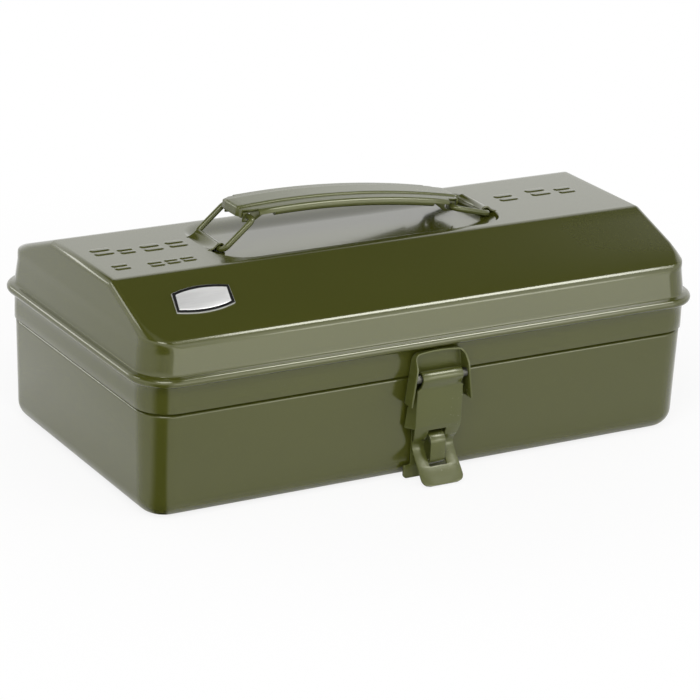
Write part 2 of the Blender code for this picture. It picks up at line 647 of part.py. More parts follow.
def bracket_outline():
    """Half outline of the bracket seen from the front, from its foot to the middle of the top."""
    corner_z = BRACKET_TOP - BRACKET_ARCH - BRACKET_CORNER
    side_fall = math.degrees(math.atan2(BRACKET_FOOT_HALF - BRACKET_TOP_HALF, corner_z - BRACKET_FOOT))
    corner = arc((BRACKET_TOP_HALF - BRACKET_CORNER, corner_z), BRACKET_CORNER, side_fall,
                 BRACKET_CORNER_END, BEND_STEPS)
    middle_z = (BRACKET_FOOT + corner_z) / 2
    middle_x = (BRACKET_FOOT_HALF + corner[0][0]) / 2
    return [(BRACKET_FOOT_HALF, BRACKET_FOOT), (middle_x, middle_z)] + corner + [(0.0, BRACKET_TOP)]


def build_bracket():
    half = bracket_outline()
    outline = half + [(-x, z) for x, z in reversed(half[:-1])]
    back = -(SKIRT_HALF_DEPTH + SEAT_GAP)
    bm = bmesh.new()
    plate = [bm.verts.new((x, back, z)) for x, z in outline]
    bm.faces.new(plate)
    front = []
    for x, z in outline:
        depth = BRACKET_BROW + (BRACKET_EAR - BRACKET_BROW) * ease(within((BRACKET_TOP - z) / BRACKET_BROW_RUN))
        front.append(bm.verts.new((x, back - depth, z)))
    for index in range(len(outline) - 1):
        bm.faces.new((plate[index], plate[index + 1], front[index + 1], front[index]))
    bracket = sheet_piece("latch_bracket", bm, (0, 1, 0), FITTING_SHEET)
    hole = rod("latch_pin_hole", LATCH_PIN_RADIUS + RUNNING_GAP / 2,
               (-BRACKET_FOOT_HALF, LATCH_PIN_Y, LATCH_PIN_Z), (BRACKET_FOOT_HALF, LATCH_PIN_Y, LATCH_PIN_Z))
    combine(bracket, hole, "DIFFERENCE")
    bake(bracket)
    smooth(bracket)
    return bracket


def build_latch_pin():
    fall = (BRACKET_FOOT_HALF - BRACKET_TOP_HALF) / (BRACKET_TOP - BRACKET_ARCH - BRACKET_CORNER - BRACKET_FOOT)
    half = BRACKET_FOOT_HALF - fall * (LATCH_PIN_Z - BRACKET_FOOT) - SEAT_GAP
    pin = rod("latch_pin", LATCH_PIN_RADIUS, (-half, LATCH_PIN_Y, LATCH_PIN_Z), (half, LATCH_PIN_Y, LATCH_PIN_Z),
              "parts", "zinc_plate")
    smooth(pin)
    return pin


def smooth_path(points, steps):
    """A rounded line through the given points: a Catmull-Rom curve with doubled ends."""
    points = [Vector(point) for point in points]
    points = [2 * points[0] - points[1]] + points + [2 * points[-1] - points[-2]]
    path = []
    for index in range(1, len(points) - 2):
        before, start, end, after = points[index - 1:index + 3]
        for step in range(steps):
            t = step / steps
            path.append(0.5 * (2 * start + (end - before) * t + (2 * before - 5 * start + 4 * end - after) * t * t
                               + (3 * start - before - 3 * end + after) * t * t * t))
    path.append(points[-2])
    return path


def lever_rows():
    """Rows of the lever from its tail to the end of its roll: y, z and half width."""
    rows = []
    bow = (LEVER_TAIL_Y + (LEVER_WAIST_Y - LEVER_TAIL_Y) * LEVER_BOW_SHARES[0],
           LEVER_TAIL_Z + (LEVER_WAIST_Z - LEVER_TAIL_Z) * LEVER_BOW_SHARES[1])
    curve = smooth_path([(LEVER_TAIL_Y, LEVER_TAIL_Z), bow, (LEVER_WAIST_Y, LEVER_WAIST_Z),
                         ((LEVER_WAIST_Y + LEVER_FRONT) / 2, (LEVER_WAIST_Z + LEVER_PLATE_FOOT) / 2),
                         (LEVER_FRONT, LEVER_PLATE_FOOT)], ARC_STEPS)
    for level in (SLOT_FOOT, SLOT_TOP):
        above = next(index for index, point in enumerate(curve) if point[1] > level)
        share = (level - curve[above - 1][1]) / (curve[above][1] - curve[above - 1][1])
        curve.insert(above, curve[above - 1].lerp(curve[above], share))
    run = 0.0
    for index, (y, z) in enumerate(curve):
        if index:
            run += (curve[index] - curve[index - 1]).length
        half = LEVER_WAIST_HALF
        half += (LEVER_HALF - LEVER_WAIST_HALF) * within((z - LEVER_WAIST_Z) / (LEVER_PLATE_FOOT - LEVER_WAIST_Z))
        half += (LEVER_TAIL_HALF - LEVER_WAIST_HALF) * within((LEVER_WAIST_Z - z) / (LEVER_WAIST_Z - LEVER_TAIL_Z))
        if run < LEVER_TAIL_CORNER:
            half -= LEVER_TAIL_CORNER - math.sqrt(max(0.0, LEVER_TAIL_CORNER ** 2 - (LEVER_TAIL_CORNER - run) ** 2))
        rows.append((y, z, half))
    for z in (FLANGE_STEP, FLANGE_TOP):
        rows.append((LEVER_FRONT, z, LEVER_HALF))
    rows.append((LEVER_FRONT, LEVER_NECK, KNUCKLE_HALF))
    for step in range(ROLL_STEPS + 1):
        angle = math.radians(LEVER_ROLL[0] + (LEVER_ROLL[1] - LEVER_ROLL[0]) * step / ROLL_STEPS)
        rows.append((LATCH_PIN_Y - KNUCKLE_RADIUS * math.cos(angle),
                     LATCH_PIN_Z + KNUCKLE_RADIUS * math.sin(angle), KNUCKLE_HALF))
    return rows


def build_lever():
    rows = lever_rows()
    bm = bmesh.new()
    grid = []
    for y, z, half in rows:
        grid.append([bm.verts.new((x, y, z)) for x in (-half, -SLOT_HALF, SLOT_HALF, half)])
    for index in range(len(rows) - 1):
        slotted = SLOT_FOOT < (rows[index][1] + rows[index + 1][1]) / 2 < SLOT_TOP
        for column in range(3):
            if column == 1 and slotted:
                continue
            bm.faces.new((grid[index][column], grid[index][column + 1],
                          grid[index + 1][column + 1], grid[index + 1][column]))
    flange_rows = [index for index, (y, z, half) in enumerate(rows)
                   if FLANGE_FOOT - SEAT_GAP < z < FLANGE_TOP + SEAT_GAP and abs(half - LEVER_HALF) < SEAT_GAP * 2
                   and y < LEVER_WAIST_Y]
    for side in (0, 3):
        backs = {}
        for index in flange_rows:
            z = rows[index][1]
            depth = FLANGE_DEPTH_LOW if z < FLANGE_STEP else FLANGE_DEPTH_HIGH
            backs[index] = bm.verts.new((grid[index][side].co.x, LEVER_FRONT + depth, z))
        for index in flange_rows[:-1]:
            bm.faces.new((grid[index][side], grid[index + 1][side], backs[index + 1], backs[index]))
    lever = sheet_piece("latch_lever", bm, (0, -1, 0), LEVER_SHEET)
    bake(lever)
    smooth(lever)
    return lever


def catch_outline():
    """Outline of the catch plate: a stem that the lever hides, on a wider foot with rounded corners."""
    half = arc((CATCH_FOOT_HALF - CATCH_FOOT_CORNER, CATCH_FOOT + CATCH_FOOT_CORNER), CATCH_FOOT_CORNER,
               -90.0, 0.0, ARC_STEPS)
    half += arc((CATCH_FOOT_HALF - CATCH_STEP_CORNER, CATCH_STEP - CATCH_STEP_CORNER), CATCH_STEP_CORNER,
                0.0, 90.0, BEND_STEPS)
    half += arc((CATCH_HALF + CATCH_STEP_CORNER, CATCH_STEP + CATCH_STEP_CORNER), CATCH_STEP_CORNER,
                270.0, 180.0, BEND_STEPS)
    half += arc((CATCH_HALF - CATCH_CORNER, CATCH_TOP - CATCH_CORNER), CATCH_CORNER, 0.0, 90.0, ARC_STEPS)
    return half + [(-x, z) for x, z in reversed(half)]


def build_catch():
    back = -(tray_outline(CATCH_TOP)[1] + SEAT_GAP)
    catch = flat_piece("latch_catch", catch_outline(), back, -CATCH_SHEET, "olive_paint_fittings")
    combine(catch, build_loop(back), "UNION")
    for side in (-1, 1):
        hole = rod("catch_plate_hole", RIVET_SHANK + SEAT_GAP,
                   (side * CATCH_RIVET_X, back + CUT_OVERRUN, CATCH_RIVET_Z),
                   (side * CATCH_RIVET_X, back - CATCH_SHEET - CUT_OVERRUN, CATCH_RIVET_Z))
        combine(catch, hole, "DIFFERENCE")
    bake(catch)
    smooth(catch)
    return catch


def build_loop(back):
    """The staple that comes through the lever's slot, as a bent strip sunk into the catch plate."""
    inside = back - CATCH_SHEET / 2
    path = [(inside, LOOP_FOOT)]
    path += [(LOOP_FRONT + LOOP_CORNER - y, LOOP_FOOT + LOOP_CORNER - z)
             for y, z in arc((0.0, 0.0), LOOP_CORNER, 90.0, 0.0, ARC_STEPS)]
    path += [(LOOP_FRONT + LOOP_CORNER - y, LOOP_TOP - LOOP_CORNER + z)
             for y, z in arc((0.0, 0.0), LOOP_CORNER, 0.0, 90.0, ARC_STEPS)]
    path.append((inside, LOOP_TOP))
    bm = bmesh.new()
    strip(bm, path, lambda y, z: (-LOOP_HALF, y, z), lambda y, z: (LOOP_HALF, y, z))
    loop = sheet_piece("catch_loop", bm, (0, -1, 0), CATCH_SHEET, where="cutters")
    bake(loop)
    return loop


def build_catch_rivets():
    under_head = -(tray_outline(CATCH_TOP)[1] + SEAT_GAP) - CATCH_SHEET - SEAT_GAP
    inside = -(tray_outline(CATCH_RIVET_Z)[1] - BODY_SHEET)
    grip = inside - under_head + SEAT_GAP
    return [build_rivet("catch_rivet_" + word, (side * CATCH_RIVET_X, under_head, CATCH_RIVET_Z), (0, -1, 0), grip)
            for side, word in ((-1, "left"), (1, "right"))]


# Handle

def link_tip(side):
    """X and Z of a wire's tip as the handle lies: the left wire stands steep, the right one lies low."""
    angle = math.radians(LINK_RAISED if side < 0 else LINK_LOWERED)
    root = LINK_LEFT_X if side < 0 else LINK_RIGHT_X
    return root - side * LINK_LENGTH * math.cos(angle), LINK_Z + LINK_LENGTH * math.sin(angle)


def bent_line(points, radii):
    """Points of a line whose inner corners are rounded to the given radii."""
    points = [Vector(point) for point in points]
    line = [points[0]]
    for index in range(1, len(points) - 1):
        corner = points[index]
        towards_start = (points[index - 1] - corner).normalized()
        towards_end = (points[index + 1] - corner).normalized()
        half = towards_start.angle(towards_end) / 2
        tangent = radii[index - 1] / math.tan(half)
        centre = corner + (towards_start + towards_end).normalized() * radii[index - 1] / math.sin(half)
        first = corner + towards_start * tangent - centre
        last = corner + towards_end * tangent - centre
        sweep = first.angle(last)
        for step in range(ARC_STEPS + 1):
            t = step / ARC_STEPS
            direction = (first * math.sin((1 - t) * sweep) + last * math.sin(t * sweep)) / math.sin(sweep)
            line.append(centre + direction)
    line.append(points[-1])
    return line


def build_wire(side):
    word = "left" if side < 0 else "right"
    root = LINK_LEFT_X if side < 0 else LINK_RIGHT_X
    tip_x, tip_z = link_tip(side)
    corners = [(tip_x, -TIP_REACH, tip_z), (tip_x, -WIRE_HALF, tip_z), (root, -WIRE_HALF, LINK_Z),
               (root, WIRE_HALF, LINK_Z), (tip_x, WIRE_HALF, tip_z), (tip_x, TIP_REACH, tip_z)]
    line = bent_line(corners, [TIP_BEND, WIRE_BEND, WIRE_BEND, TIP_BEND])
    data = bpy.data.curves.new("handle_wire_" + word, "CURVE")
    data.dimensions = "3D"
    data.bevel_depth = WIRE_RADIUS
    data.bevel_resolution = WIRE_SIDES_RESOLUTION
    data.use_fill_caps = True
    spline = data.splines.new("POLY")
    spline.points.add(len(line) - 1)
    for point, place in zip(spline.points, line):
        point.co = (*place, 1.0)
    curve = bpy.data.objects.new("handle_wire_curve", data)
    collections["parts"].objects.link(curve)
    mesh = bpy.data.meshes.new_from_object(curve.evaluated_get(bpy.context.evaluated_depsgraph_get()))
    bpy.data.objects.remove(curve, do_unlink=True)
    bm = bmesh.new()
    bm.from_mesh(mesh)
    bmesh.ops.remove_doubles(bm, verts=bm.verts, dist=MERGE_DISTANCE)
    wire = finish_bmesh("handle_wire_" + word, bm, "olive_paint_fittings")
    smooth(wire)
    return wire


def build_tunnel(side):
    """Pressed bridge over the wire's cross bar."""
    word = "left" if side < 0 else "right"
    root = LINK_LEFT_X if side < 0 else LINK_RIGHT_X
    foot = DISH_FLOOR + SEAT_GAP
    section = [(root + TUNNEL_RADIUS, foot)]
    section += arc((root, LINK_Z), TUNNEL_RADIUS, 0.0, 180.0, ARC_STEPS * 2)
    section.append((root - TUNNEL_RADIUS, foot))
    bm = bmesh.new()
    strip(bm, section, lambda x, z: (x, -TUNNEL_HALF, z), lambda x, z: (x, TUNNEL_HALF, z))
    tunnel = sheet_piece("handle_tunnel_" + word, bm, (0, 0, 1), FITTING_SHEET, "olive_paint")
    bake(tunnel)
    smooth(tunnel)
    return tunnel


def grip_frame():
    """Place of the grip as the handle lies: origin midway between the tips, X along them."""
    left_x, left_z = link_tip(-1)
    right_x, right_z = link_tip(1)
    tilt = math.atan2(left_z - right_z, right_x - left_x)
    middle = Vector(((left_x + right_x) / 2, 0.0, (left_z + right_z) / 2))
    return Matrix.Translation(middle) @ Matrix.Rotation(tilt, 4, "Y")


def grip_half():
    left_x, left_z = link_tip(-1)
    right_x, right_z = link_tip(1)
    return math.hypot(right_x - left_x, right_z - left_z) / 2


def grip_line(x):
    """Height of the grip's top over its pivots, and its slope, at x along the grip."""
    end = grip_half() + GRIP_OVERHANG
    radius = (end * end + GRIP_RISE * GRIP_RISE) / (2 * GRIP_RISE)
    drop = radius - math.sqrt(radius * radius - x * x)
    return GRIP_CROWN - drop, -math.asin(x / radius)


def grip_section():
    """Half section of the grip from its middle outwards: y, z under the top, and whether it is the rolled edge."""
    flat = -GRIP_RIB_HEIGHT
    points = [(0.0, 0.0, False), (GRIP_RIB_HALF, 0.0, False), (GRIP_RIB_FOOT, flat, False),
              (GRIP_FLAT_HALF, flat, False), (GRIP_EDGE_HALF, flat - GRIP_EDGE_DROP, False)]
    for step in range(CURL_STEPS + 1):
        angle = math.radians(CURL_START - CURL_TURN * step / CURL_STEPS)
        points.append((CURL_CENTRE_Y + CURL_RADIUS * math.cos(angle),
                       -CURL_CENTRE_DROP + CURL_RADIUS * math.sin(angle), True))
    return points


def grip_station(x):
    """Frame of a cross section of the grip at x along it."""
    height, slope = grip_line(x)
    return Matrix.Translation((x, 0.0, height)) @ Matrix.Rotation(-slope, 4, "Y")


def turned_down_end(side, edge):
    """Frames from the grip's edge round its bend to the end of the turned-down lip."""
    frames = []
    for step in range(1, GRIP_END_STEPS + 1):
        turn = side * math.radians(GRIP_END_TURN * step / GRIP_END_STEPS)
        reach = side * GRIP_END_BEND * math.sin(abs(turn))
        fall = GRIP_END_BEND * (1 - math.cos(turn))
        frames.append(edge @ Matrix.Translation((reach, 0.0, -fall)) @ Matrix.Rotation(turn, 4, "Y"))
    frames.append(frames[-1] @ Matrix.Translation((side * (GRIP_END_DROP - GRIP_END_BEND), 0.0, 0.0)))
    return frames


def grip_frames():
    """Frames of the grip's cross sections from left to right, and whether its edges are rolled there."""
    end = grip_half() + GRIP_OVERHANG - GRIP_END_BEND
    roll = grip_half() * CURL_SHARE
    plain = [grip_station(-end), grip_station(-(roll + end) / 2)]
    rolled = [grip_station(-roll + 2 * roll * step / GRIP_STATIONS) for step in range(GRIP_STATIONS + 1)]
    others = [grip_station((roll + end) / 2), grip_station(end)]
    left = list(reversed(turned_down_end(-1, plain[0]))) + plain
    right = others + turned_down_end(1, others[-1])
    return [(frame, False) for frame in left] + [(frame, True) for frame in rolled] + [
        (frame, False) for frame in right]


def build_grip():
    section = grip_section()
    full = [(-y, z, rolled) for y, z, rolled in reversed(section[1:])] + section
    bm = bmesh.new()
    grid = []
    for frame, has_roll in grip_frames():
        row = []
        for y, z, rolled in full:
            row.append(None if rolled and not has_roll else bm.verts.new(frame @ Vector((0.0, y, z))))
        grid.append(row)
    for lower, upper in zip(grid, grid[1:]):
        for index in range(len(full) - 1):
            corners = (lower[index], upper[index], upper[index + 1], lower[index + 1])
            if None not in corners:
                bm.faces.new(corners)
    bm.transform(grip_frame())
    grip = sheet_piece("handle_grip", bm, (0, 0, 1), GRIP_SHEET)
    bake(grip)
    smooth(grip)
    return grip


def build_yoke(side):
    """Folded channel under the grip's end; the wire's tips turn in its ears."""
    word = "left" if side < 0 else "right"
    pivot = side * grip_half()
    height, slope = grip_line(pivot)
    web = height - GRIP_RIB_HEIGHT - GRIP_SHEET - SEAT_GAP
    half = YOKE_LENGTH / 2
    section = [(-YOKE_HALF, -YOKE_BELOW), (-YOKE_HALF, web), (YOKE_HALF, web), (YOKE_HALF, -YOKE_BELOW)]
    lean = math.tan(slope) * half
    bm = bmesh.new()
    strip(bm, section,
          lambda y, z: (pivot - half, y, z - lean if z > 0 else z),
          lambda y, z: (pivot + half, y, z + lean if z > 0 else z))
    bm.transform(grip_frame())
    yoke = sheet_piece("grip_yoke_" + word, bm, (0, 0, 1), YOKE_SHEET)
    combine(yoke, tip_hole(side, pivot), "DIFFERENCE")
    bake(yoke)
    smooth(yoke)
    return yoke


def tip_hole(side, pivot):
    """Round hole on the left; on the right, where the linkage is left open, a short slot."""
    play = OPEN_PIVOT_PLAY if side > 0 else 0.0
    radius = WIRE_RADIUS + RUNNING_GAP
    near = arc((pivot, 0.0), radius, -90.0, 90.0, ROUND_SIDES // 2)
    far = arc((pivot - play, 0.0), radius, 90.0, 270.0, ROUND_SIDES // 2)
    outline = near + far if play else near + far[1:-1]
    hole = flat_piece("tip_hole", outline, -WIRE_HALF, 2 * WIRE_HALF, where="cutters")
    hole.data.transform(grip_frame())
    return hole


# Assembly

def pivot_empty(name, place, parent=None):
    empty = bpy.data.objects.new(name, None)
    empty.empty_display_size = WIRE_HALF
    collections["parts"].objects.link(empty)
    empty.location = place
    bpy.context.view_layer.update()
    if parent:
        carry(empty, parent)
    return empty


def carry(child, parent):
    bpy.context.view_layer.update()
    place = child.matrix_world.copy()
    child.parent = parent
    child.matrix_parent_inverse = parent.matrix_world.inverted()
    child.matrix_world = place


def build():
    clear_scene()
    make_collections()
    make_materials()
    tray = build_tray()
    lid_pivot = pivot_empty("lid_pivot", (0.0, HINGE_AXIS_Y, HINGE_AXIS_Z))
    lid_things = [build_lid(), build_bracket(), build_latch_pin(), build_tunnel(-1), build_tunnel(1)]
    tray_things = [build_catch()] + build_catch_rivets()
    for side in (-1, 1):
        on_tray, on_lid = build_hinge(side)
        tray_things += on_tray
        lid_things += on_lid
    for thing in tray_things:
        carry(thing, tray)
    for thing in lid_things:
        carry(thing, lid_pivot)
    latch_pivot = pivot_empty("latch_pivot", (0.0, LATCH_PIN_Y, LATCH_PIN_Z), lid_pivot)
    carry(build_lever(), latch_pivot)
    left_pivot = pivot_empty("handle_pivot_left", (LINK_LEFT_X, 0.0, LINK_Z), lid_pivot)
    right_pivot = pivot_empty("handle_pivot_right", (LINK_RIGHT_X, 0.0, LINK_Z), lid_pivot)
    carry(build_wire(-1), left_pivot)
    carry(build_wire(1), right_pivot)
    tip_x, tip_z = link_tip(-1)
    grip_pivot = pivot_empty("grip_pivot", (tip_x, 0.0, tip_z), left_pivot)
    for thing in (build_grip(), build_yoke(-1), build_yoke(1)):
        carry(thing, grip_pivot)


build()
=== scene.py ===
"""Looks of the metal tool box: finer pressings, rolled and bent fittings, and gloss enamel.

Everything is in metres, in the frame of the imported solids: +X along the box to the right, +Y to the
hinges at the back, +Z up. Each piece is drawn in edit mode, laid where the solid is that it stands
for, and rides on that solid's body.
"""
import math

import bmesh
import bpy
from mathutils import Matrix, Vector


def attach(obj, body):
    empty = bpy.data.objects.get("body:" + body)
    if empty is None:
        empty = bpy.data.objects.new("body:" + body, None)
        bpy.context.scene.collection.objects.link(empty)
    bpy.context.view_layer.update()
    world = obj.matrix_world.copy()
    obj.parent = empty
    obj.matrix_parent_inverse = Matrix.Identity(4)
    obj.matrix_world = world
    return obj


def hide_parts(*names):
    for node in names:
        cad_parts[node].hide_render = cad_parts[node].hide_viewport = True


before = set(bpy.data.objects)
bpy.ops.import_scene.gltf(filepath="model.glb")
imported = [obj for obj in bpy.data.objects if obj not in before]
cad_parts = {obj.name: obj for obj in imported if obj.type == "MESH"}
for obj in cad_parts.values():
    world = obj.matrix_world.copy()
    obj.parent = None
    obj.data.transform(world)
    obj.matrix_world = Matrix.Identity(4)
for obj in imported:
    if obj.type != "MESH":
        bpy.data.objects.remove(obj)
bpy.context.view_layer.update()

# Sheets
BODY_SHEET = 0.0008
FITTING_SHEET = 0.0009
GRIP_SHEET = 0.0008
CATCH_SHEET = 0.0010
CUT_EDGE = 0.00018  # how far the cut edges of the sheets are rounded
FITTING_EDGE = 0.00015

# Tray
TRAY_HALF_LENGTH = 0.1408
TRAY_HALF_DEPTH = 0.0753
TRAY_CORNER = 0.0145
TRAY_DRAFT = 0.0013
TRAY_FLOOR_RADIUS = 0.0088
SHOULDER = 0.0480
SHOULDER_RISE = 0.0018
COLLAR_INSET = 0.0014
RIM_HEIGHT = 0.0640
RIM_BEND = 0.0014
RIM_FLANGE = 0.0030
HOLE_IN = 0.005  # how far the rivets' holes are cut in from the wall and out
HOLE_OUT = 0.003
HOLE_RUN = 0.001  # and behind a fitting's own back

# Lid
SKIRT_HALF_LENGTH = 0.1415
SKIRT_HALF_DEPTH = 0.0760
SKIRT_CORNER = 0.0152
SKIRT_FOOT = 0.0500
BEAD_HEIGHT = 0.0645
BEAD_RADIUS = 0.0021
BEAD_REACH = 0.0036
BEAD_FILLET = 0.0010
WALL_DRAFT = 0.0010
EAVE_HEIGHT = 0.0811
EAVE_RADIUS = 0.0052
EAVE_LEAN = 5.0  # degrees that the wall leans back where the eave's bend begins
TOP_HEIGHT = 0.09725
TOP_HALF_DEPTH = 0.0302
RIDGE_RADIUS = 0.0080
GABLE_EDGE = 0.0032
CORNER_RUN = 0.0060  # height over which the eave's corner runs out into the gable's edge
GABLE_DRAFT = 0.0013
HANDLE_SHIFT = -0.0050
DISH_HALF_LENGTH = 0.0750
DISH_HALF_DEPTH = 0.0275
DISH_CORNER = 0.0160
DISH_DEPTH = 0.0016
DISH_SLOPE_X = 0.0018
DISH_SLOPE_Y = 0.0019
DISH_BACK_SHARE = 0.54  # how much of the back half its gentle back slope takes
DISH_FRONT_SHARE = 0.945  # leaves a level strip between the dish and the front ridge
DISH_FLOOR = TOP_HEIGHT - DISH_DEPTH
DISH_LIP = 0.0003  # a level ring this far outside the dish keeps the flat even
LEVEL_SHARE = 0.985  # and so do rings this much smaller than the ridge and the dish
DISH_MIDDLE_SHARE = 0.96
SLOPE = math.atan2(TOP_HEIGHT - EAVE_HEIGHT, SKIRT_HALF_DEPTH - WALL_DRAFT - TOP_HALF_DEPTH)
WALL_FOOT = BEAD_HEIGHT + BEAD_RADIUS + BEAD_FILLET
WALL_TOP = EAVE_HEIGHT - EAVE_RADIUS * math.tan((math.pi / 2 - SLOPE) / 2)

# Hinges
HINGE_Y = 0.0778
HINGE_X = TRAY_HALF_LENGTH * 0.568
HINGE_LENGTH = 0.0400
HINGE_KNUCKLES = 5
HINGE_RADIUS = 0.0023
HINGE_PIN_RADIUS = 0.0012
HINGE_PIN_HEAD = 0.0016
HINGE_HEAD_LENGTH = 0.0008
HINGE_LEAF_DOWN = 0.0125
HINGE_LEAF_UP = 0.0118
HINGE_CLEAR = 0.00275  # from the axis to the root of a leaf
LEAF_CORNER = 0.0020
KNUCKLE_TURN = 330  # degrees that a knuckle is rolled
KNUCKLE_HOLLOW = 0.62  # its inner radius as a share of its outer one
TAB_INSET = 0.0001
TAB_OVERLAP = 0.0004  # how far a knuckle's tab runs into the leaf
TAB_REACH = 0.75  # and up into the knuckle, as a share of its radius
SEAT_GAP = 0.0003
RIVET_SHANK = 0.0015
RIVET_HEAD = 0.0027
RIVET_DOME = 0.0010
RIVET_TAIL = 0.0023
RIVET_TAIL_THICK = 0.0007
RIVET_SPAN = 0.0250
RIVET_Z = 0.0402

# Latch
BRACKET_FOOT = 0.0376
BRACKET_TOP = 0.0617
BRACKET_FOOT_HALF = 0.0160
BRACKET_TOP_HALF = 0.0133
BRACKET_CORNER = 0.0036
BRACKET_ARCH = 0.0006
BRACKET_EAR = 0.0074
BRACKET_BROW = 0.0034
BRACKET_BROW_RUN = 0.0075
BRACKET_BEND = 0.0013
LATCH_PIN_Y = -0.0808
LATCH_PIN_Z = 0.0495
LATCH_PIN_RADIUS = 0.0020
PIN_CHAMFER = 0.0003
LEVER_SHEET = 0.0009
LEVER_HALF = 0.0120
KNUCKLE_HALF = 0.0103
KNUCKLE_RADIUS = 0.0032
ROLL_START = -8  # degrees between which the lever is rolled round its pin
ROLL_END = 244
LEAN_START = 0.0004  # the lever leans out to its roll from this far over the flanges
LEAN_END = 0.0001  # to this far over the pin's axis
NARROW_SHARE = 0.25  # and narrows over this share of the lean
LEVER_FRONT = -0.0818
LEVER_PLATE_FOOT = 0.0268
WAIST_Y = -0.0777
WAIST_Z = 0.0150
WAIST_HALF = 0.0106
TAIL_BOW = (0.33, 0.32)  # shares of the way back and up to the waist where the tail is bowed
TAIL_Y = -0.0893
TAIL_Z = 0.0008
TAIL_HALF = 0.0108
TAIL_CORNER = 0.0038
FLANGE_TOP = 0.0436
FLANGE_STEP = 0.0365
FLANGE_RUN = 0.0012  # height of the step between its two depths
FLANGE_FOOT = 0.0255
FLANGE_DEPTH_HIGH = 0.0040
FLANGE_DEPTH_LOW = 0.0050
FLANGE_FLARE_HIGH = 0.0008  # how far the flanges lean out at their top and at their foot
FLANGE_FLARE_LOW = 0.0030
FLANGE_FOLD = 0.0006
FLANGE_NEAR = 0.0004  # a point this near to the plate's edge lies on it
LEVER_BEND = 0.0007
SLOT_HALF = 0.0046
SLOT_TOP = 0.0242
SLOT_FOOT = 0.0076
CATCH_BACK = -0.07522
CATCH_HALF = 0.0104
CATCH_CORNER = 0.0040
CATCH_TOP = 0.0340
CATCH_RIVET_X = 0.0072
CATCH_RIVET_Z = 0.0296
CATCH_STEP = 0.0070
CATCH_FOOT = 0.0006
CATCH_FOOT_HALF = 0.0139
CATCH_FOOT_CORNER = 0.0020
CATCH_STEP_CORNER = 0.0009
LOOP_HALF = 0.0040
LOOP_TOP = 0.0222
LOOP_FOOT = 0.0070
LOOP_FRONT = -0.0826
LOOP_CORNER = 0.0044
LOOP_EDGE = 0.0003  # how far the staple's long edges are turned back

# Handle
WIRE_RADIUS = 0.0014
WIRE_HALF = 0.0136
WIRE_BEND = 0.0030
TIP_BEND = 0.0024
TIP_REACH = 0.0070
WIRE_EDGE = 0.0003
LINK_SPAN = 0.1400
LINK_LENGTH = 0.0195
LINK_RAISED = 40.5
LINK_LOWERED = 14.6
LINK_Z = DISH_FLOOR + SEAT_GAP + WIRE_RADIUS
TUNNEL_HALF = 0.0104
TUNNEL_RADIUS = 0.0026
TUNNEL_FLARE = 0.00025
TUNNEL_LIFT = 0.00003
TUNNEL_FOOT = 0.0056  # where its outer side runs out on the flat, from the bar
GRIP_CROWN = 0.00818
GRIP_RISE = 0.0041
GRIP_OVERHANG = 0.0050
GRIP_RIB_HALF = 0.0056
GRIP_RIB_FOOT = 0.0071
GRIP_RIB_HEIGHT = 0.0009
GRIP_FLAT_HALF = 0.0100
GRIP_EDGE_HALF = 0.0109
GRIP_EDGE_DROP = 0.0001
CURL_CENTRE_Y = 0.0115
CURL_CENTRE_DROP = 0.0030
CURL_RADIUS = 0.0020
CURL_START = 100.0
CURL_TURN = 285.0
CURL_SHARE = 0.792
HEM_SHARE = 0.945  # the edges are turned down this far towards the pivots
HEM_STEPS = 11
GRIP_END_HALF = 0.0092
GRIP_END_DROP = 0.0046
GRIP_END_BEND = 0.0015
GRIP_END_TURN = 80.0
YOKE_SHEET = 0.0009
YOKE_BEND = 0.0012
YOKE_HALF = 0.0088
YOKE_LENGTH = 0.0054
YOKE_BELOW = 0.0026
YOKE_GUSSET = 0.0074  # how far the ears taper off towards the rolled edges
YOKE_WEB_EDGE = 0.0016  # how much of their height is left there
PIVOT_ROOM = 0.0002
OPEN_PIVOT_PLAY = 0.0012  # length of the slot in which the right-hand wire can shift

# Pressed ribs: place and length of each pair, and how far each ring of one reaches out and up
MARK_PLACES = ((-0.1251, 0.0063, 0.0092), (-0.1145, 0.0033, 0.0070), (-0.1021, 0.0033, 0.0090),
               (-0.0896, 0.0038, 0.0086), (-0.1263, -0.0158, 0.0072), (-0.1103, -0.0180, 0.0064),
               (-0.1022, -0.0176, 0.0060), (-0.0943, -0.0173, 0.0060), (0.0861, 0.0051, 0.0096),
               (0.1052, 0.0068, 0.0104), (0.1190, 0.0044, 0.0086))
MARK_SECTION = ((0.0007, -0.00003), (0.00045, 0.00002), (0.00022, 0.00018), (0.0, 0.00032),
                (-0.0003, 0.00040), (-0.0006, 0.00042))
MARK_PITCH_SHARE = 0.56
MARK_HALF_SHARE = 0.17

# Badge
BADGE_CORNERS = ((-0.1161, -0.0445), (-0.0881, -0.0439), (-0.0906, -0.0551), (-0.1192, -0.0563))
BADGE_HALF = (0.0145, 0.0075)
BADGE_BOW = 0.0024
BADGE_BORDER = 0.0014
BADGE_THICK = 0.0007

# Finishes, with each noise's scale in cycles per metre
DUST_COLOUR = (0.30, 0.30, 0.25, 1.0)
OLIVE_GLOSS = (0.97, 0.97, 0.82, 1.0)
CLOUD_SCALE = 22.0
SMUDGE_SCALE = 9.0
SMUDGE_AMOUNT = 0.06
SPECK_SCALE = 900.0
SPECK_SPAN = (0.66, 0.74)  # noise levels between which a speck of dust fades in
SPECK_ROUGHNESS = 0.5
PEEL_SCALE = 420.0
PEEL_DEPTH = 0.00008
SCRATCH_DEPTH = 0.00004
SCRATCH_ROUGHNESS = 0.18
SCRATCH_SHADE = 0.82  # how dark the darkest scratches are beside the metal

